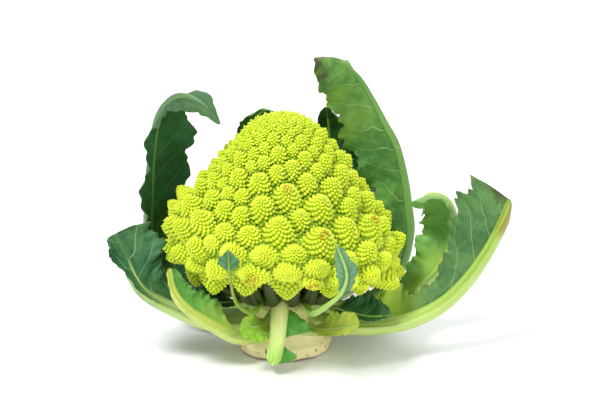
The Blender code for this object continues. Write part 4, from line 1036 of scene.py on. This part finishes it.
def make_branches(paint):
    """The short branches that carry the florets, from the stalk to the curd's underside."""
    rng = np.random.default_rng(BRANCH_SEED)
    shares = np.linspace(0.0, 1.0, BRANCH_ROWS)
    turn = np.linspace(0.0, FULL_TURN, BRANCH_ROUND, endpoint=False)[None, :, None]
    for number in range(UNDER_BRANCHES):
        azimuth = FULL_TURN * (number + BRANCH_SCATTER * rng.uniform(-1.0, 1.0)) / UNDER_BRANCHES
        out = np.array([math.cos(azimuth), math.sin(azimuth), 0.0])
        end = BRANCH_END * (1.0 + BRANCH_REACH_SPREAD * rng.uniform(-1.0, 1.0))
        top = BRANCH_END_HEIGHT + FRONT_RISE * max(0.0, -out[1])
        places = BRANCH_LINE + [(end, top)]
        line, along = line_through([reach * out + height * UP for reach, height in places])
        centre = on_line(line, along, shares * along[-1])
        forwards = unit(np.gradient(centre, axis=0))
        side = unit(np.cross(forwards, out + BRANCH_TILT * UP))
        lift = np.cross(side, forwards)
        uneven = rng.uniform(1.0 - BRANCH_WIDTH_SPREAD, 1.0 + BRANCH_WIDTH_SPREAD)
        radius = (BRANCH_RADIUS * (BRANCH_FOOT - BRANCH_THINNING * shares) * uneven)[:, None, None]
        rings = centre[:, None] + radius * (np.cos(turn) * side[:, None] + np.sin(turn) * lift[:, None])
        make_piece(closed_tube(f"branch_{number + 1}", rings[:, ::-1]), paint, "stem", "stem")


# Finishes
class Finish:
    """A material's node tree, and short ways to add nodes that feed each other."""

    def __init__(self, name, roughness, subsurface=0.0, coat=0.0, shine=0.5):
        self.material = bpy.data.materials.new(name)
        self.material.use_nodes = True
        self.tree = self.material.node_tree
        self.sockets = self.tree.nodes["Principled BSDF"].inputs
        self.sockets["Roughness"].default_value = roughness
        self.sockets["Subsurface Weight"].default_value = subsurface
        self.sockets["Subsurface Radius"].default_value = (0.6, 1.0, 0.25)
        self.sockets["Subsurface Scale"].default_value = 0.002
        self.sockets["Specular IOR Level"].default_value = shine
        self.sockets["Coat Weight"].default_value = coat
        self.sockets["Coat Roughness"].default_value = 0.35
        self.place = self.add("TexCoord", "Object")

    def add(self, kind, output, fed=(), **settings):
        return add_node(self.tree, f"ShaderNode{kind}", fed, **settings).outputs[output]

    def math(self, operation, first, second=0.0):
        return self.add("Math", 0, {0: first, 1: second}, operation=operation)

    def plus(self, first, second):
        return self.math("ADD", first, second)

    def times(self, first, second):
        return self.math("MULTIPLY", first, second)

    def ramp(self, value, low, high, start=0.0, end=1.0):
        fed = {"Value": value, "From Min": low, "From Max": high, "To Min": start, "To Max": end}
        return self.add("MapRange", "Result", fed, interpolation_type="SMOOTHSTEP")

    def mix(self, share, first, second):
        return self.add("Mix", 2, {0: share, 6: first, 7: second}, data_type="RGBA")

    def attribute(self, name):
        return self.add("Attribute", "Fac", attribute_name=name)

    def noise(self, scale, detail=3.0, stretch=(1.0, 1.0, 1.0)):
        place = self.add("Mapping", "Vector", {"Vector": self.place, "Scale": stretch})
        return self.add("TexNoise", "Fac", {"Vector": place, "Scale": scale, "Detail": detail})

    def sway(self, scale, by, detail=3.0):
        """A noise that goes as far below nothing as above it, by up to half of that much."""
        return self.times(self.math("SUBTRACT", self.noise(scale, detail), 0.5), by)

    def cells(self, scale, bend=0.0):
        """How far a place is from the edges between scattered cells, which are bent by that many metres."""
        waver = self.add("TexNoise", "Color", {"Vector": self.place, "Scale": 110.0})
        fed = {0: waver, 1: (bend, bend, bend), 2: self.place}
        place = self.add("VectorMath", 0, fed, operation="MULTIPLY_ADD")
        fed = {"Vector": place, "Scale": scale}
        return self.add("TexVoronoi", "Distance", fed, feature="DISTANCE_TO_EDGE")

    def from_axis(self):
        """How far a place is from the head's upright axis."""
        flat = self.add("VectorMath", 0, {0: self.place, 1: (1.0, 1.0, 0.0)}, operation="MULTIPLY")
        return self.add("VectorMath", "Value", {0: flat}, operation="LENGTH")

    def height(self):
        return self.add("SeparateXYZ", "Z", {0: self.place})

    def finish(self, colour, bump=None, strength=0.4, distance=0.0005):
        self.tree.links.new(colour, self.sockets["Base Color"])
        if bump is not None:
            fed = {"Height": bump, "Strength": strength, "Distance": distance}
            self.tree.links.new(self.add("Bump", "Normal", fed), self.sockets["Normal"])
        return self.material


def curd_finish():
    look = Finish("curd flesh", 0.50, subsurface=0.14)
    high, valley, rust, width = (look.attribute(name) for name in ("high", "valley", "rust", "width"))
    # Painted shade: darker flesh in floret valleys, crevice shade low on buds and at bead edges on wide buds
    flesh = look.mix(look.noise(28.0), CURD_FLESH, CURD_PALE)
    flesh = look.mix(look.ramp(valley, 0.0, 0.9), flesh, CURD_VALLEY_SHADE)
    crevice_shade = look.mix(look.ramp(valley, 0.0, 0.7), CURD_CREVICE_SHADE, CURD_SHADE)
    colour = look.mix(look.ramp(high, 0.0, 0.8), crevice_shade, flesh)
    spots = look.times(rust, look.ramp(look.noise(420.0), 0.40, 0.62))
    colour = look.mix(spots, colour, CURD_RUST)
    bead = look.cells(BEAD_SCALE)
    shaded = look.ramp(width, *BEAD_SHADE_WIDTHS, 0.0, 0.4)
    shaded = look.times(look.ramp(bead, 0.0, 0.12, 1.0, 0.0), shaded)
    beads = look.times(look.ramp(bead, 0.0, 0.35), look.ramp(width, *BEAD_RELIEF_WIDTHS))
    relief = look.plus(beads, look.times(look.noise(1400.0), 0.2))
    return look.finish(look.mix(shaded, colour, crevice_shade), relief, 0.5, 0.0004)


def blade_finish(leaf):
    """A leaf's finish: its two faces, the veins, the fine net between them and the dry or yellow places."""
    look, tone = Finish(f"{leaf.name} leaf", 0.55, subsurface=0.04, shine=0.28), leaf.tone
    vein, from_rib, from_edge, grown_share = (look.attribute(label) for label in SHEET_NOTES)
    mottle = look.plus(look.times(look.noise(38.0), 0.6), look.times(look.noise(170.0, 4.0), 0.4))
    mottle = look.ramp(mottle, 0.38, 0.62)
    inner = look.mix(mottle, tone.inner, tone.inner_light)
    green = look.mix(look.attribute("outer"), inner, look.mix(mottle, tone.outer, tone.outer_light))
    blotch = look.times(look.ramp(look.noise(22.0, 4.0), 0.50, 0.68), tone.yellowing)
    green = look.mix(blotch, green, tone.yellow)
    green = look.mix(look.ramp(grown_share, 0.0, tone.foot, 1.0, 0.0), green, tone.yellow)
    wander = look.times(look.sway(48.0, VEIN_WANDER), look.ramp(from_rib, 0.0, VEIN_WANDERS_FROM))
    off_vein = look.times(look.math("PINGPONG", look.plus(vein, wander), 0.5), leaf.vein_gap)
    vein_half = look.ramp(from_edge, 0.0, VEIN_WIDENS_OVER, VEIN_HALF_AT_EDGE, VEIN_HALF)
    side = look.ramp(look.math("DIVIDE", off_vein, vein_half), 0.6, 1.7, 1.0, 0.0)
    net = look.times(look.ramp(look.cells(NET_SCALE, NET_BEND), 0.012, 0.05, 0.55, 0.0), tone.net)
    veins = look.math("MAXIMUM", side, net)
    green = look.mix(look.times(veins, tone.vein_share), green, tone.vein)
    narrowing = look.times(look.ramp(grown_share, 0.2, 1.0, 1.0, 0.45), tone.bare_rib)
    near_rib = look.ramp(look.math("DIVIDE", from_rib, narrowing), 0.7, 1.3, 1.0, 0.0)
    fade = look.ramp(grown_share, *(leaf.on_blade(share) for share in tone.rib_fade))
    green = look.mix(look.times(near_rib, 0.85), green, look.mix(fade, tone.midrib, tone.midrib_end))
    dry = look.ramp(look.plus(from_edge, look.times(look.noise(90.0), 0.004)), *DRY_EDGE, 1.0, 0.0)
    green = look.mix(look.times(dry, tone.dry), green, tone.dry_colour)
    late = look.plus(grown_share, look.sway(90.0, 0.22, 5.0))
    late = look.ramp(late, tone.withered_from, tone.withered_from + END_FADE)
    green = look.mix(late, green, tone.withered)
    relief = look.plus(look.times(veins, -0.5), look.times(look.noise(260.0), 0.5))
    return look.finish(green, relief, 0.5, 0.0006)


def rib_finish(leaf):
    """A leaf stalk's finish: streaks along it, a few spots, and a scar near its end on some."""
    look, tone = Finish(f"{leaf.name} stalk", 0.38, subsurface=0.10, coat=0.15), leaf.tone
    around, along = look.attribute("around"), look.attribute("along")
    place = look.add("CombineXYZ", 0, {0: look.times(around, 34.0), 1: look.times(along, 5.0)})
    streak = look.add("TexNoise", "Fac", {"Vector": place, "Scale": 1.0, "Detail": 3.0})
    body = look.mix(look.ramp(along, *tone.rib_fade), tone.midrib, tone.midrib_end)
    body = look.mix(look.ramp(streak, 0.45, 0.62), body, tone.streak)
    body = look.mix(look.ramp(along, tone.scar_from, tone.scar_from + END_FADE), body, tone.scar)
    body = look.mix(look.ramp(look.noise(300.0, 1.0), 0.70, 0.78, 0.0, 0.5), body, RIB_SPOT)
    return look.finish(body, streak, 0.35, 0.0005)


def stem_finish():
    """The stalk's finish: cream at its foot, greener above, with streaks, spots and a browned cut."""
    look = Finish("cut stalk", 0.50, subsurface=0.08)
    z = look.height()
    rough_z = look.plus(z, look.sway(70.0, 0.006))
    colour = look.mix(look.ramp(rough_z, *STEM_TURNS_GREEN), STEM_CREAM, STEM_GREEN)
    colour = look.mix(look.ramp(rough_z, *STEM_TURNS_PALE), colour, STEM_PALE)
    streaks = look.ramp(look.noise(90.0, 2.0, (1.0, 1.0, 0.25)), 0.45, 0.65, 0.0, 0.4)
    colour = look.mix(streaks, colour, STEM_STREAK)
    spots = look.times(look.ramp(look.noise(330.0, 2.0), 0.60, 0.68), look.ramp(z, *STEM_SPOTS_END, 1.0, 0.0))
    colour = look.mix(spots, colour, STEM_SPOT)
    cut = look.times(look.ramp(rough_z, *STEM_CUT_ENDS, 1.0, 0.0), 0.85)
    return look.finish(look.mix(cut, colour, STEM_CUT), look.noise(240.0, 4.0), 0.5, 0.0008)


def branch_finish():
    look = Finish("curd branch", 0.45, subsurface=0.10)
    out = look.plus(look.from_axis(), look.sway(60.0, 0.012))
    # Pale by the stalk, then the branches' own green darkened with painted shade under the curd
    colour = look.mix(look.ramp(out, *BRANCH_TURNS_SHADED), BRANCH_PALE, BRANCH_SHADED_GREEN)
    return look.finish(colour, look.noise(200.0), 0.3, 0.0005)


def floor_finish():
    look = Finish("pale floor", 0.55)
    return look.finish(look.mix(look.noise(3.0), FLOOR_LIGHT, FLOOR_SHADE))


# The set
def make_stage():
    """A pale floor that curves up into the wall behind."""
    bend = np.linspace(0.0, 0.5 * math.pi, FLOOR_BEND_STEPS + 1)
    outline = [(-FLOOR_FRONT, 0.0)] + [
        (FLOOR_BACK + FLOOR_BEND * math.sin(a), FLOOR_BEND * (1.0 - math.cos(a))) for a in bend
    ] + [(FLOOR_BACK + FLOOR_BEND, WALL_HEIGHT)]
    points = [(side * FLOOR_SIDE, y, z) for y, z in outline for side in (-1.0, 1.0)]
    faces = [(2 * k, 2 * k + 1, 2 * k + 3, 2 * k + 2) for k in range(len(outline) - 1)]
    mesh = new_mesh("floor", points, faces)
    mesh.shade_smooth()
    mesh.materials.append(floor_finish())
    link_object("floor", mesh)


def aim(obj, place, target):
    obj.location = place
    obj.rotation_euler = (Vector(target) - Vector(place)).to_track_quat("-Z", "Y").to_euler()


def make_light(name, place, power, size):
    light = bpy.data.lights.new(name, "AREA")
    light.energy = power
    light.size = size
    aim(link_object(name, light), place, LIGHT_TARGET)


def make_camera():
    camera = bpy.data.cameras.new("camera")
    camera.lens = CAMERA_LENS
    camera.clip_start = CAMERA_NEAREST
    obj = link_object("camera", camera)
    back = Vector((0.0, -math.cos(CAMERA_ELEVATION), math.sin(CAMERA_ELEVATION)))
    aim(obj, Vector(CAMERA_TARGET) + CAMERA_DISTANCE * back, CAMERA_TARGET)
    bpy.context.scene.camera = obj


def make_daylight():
    world = bpy.data.worlds.new("soft daylight")
    world.use_nodes = True
    sky = world.node_tree.nodes["Background"]
    sky.inputs["Color"].default_value = WORLD_COLOUR
    sky.inputs["Strength"].default_value = WORLD_STRENGTH
    bpy.context.scene.world = world
    bpy.context.scene.view_settings.view_transform = "Standard"


def main():
    make_camera()
    make_stage()
    make_daylight()
    for light in LIGHTS:
        make_light(*light)
    make_curd(curd_finish())
    make_stem(stem_finish())
    make_branches(branch_finish())
    for number, leaf in enumerate(LEAVES):
        make_rib(leaf, rib_finish(leaf))
        make_blade(leaf, blade_finish(leaf), 1.0 + LEAF_PHASE * number)


main()
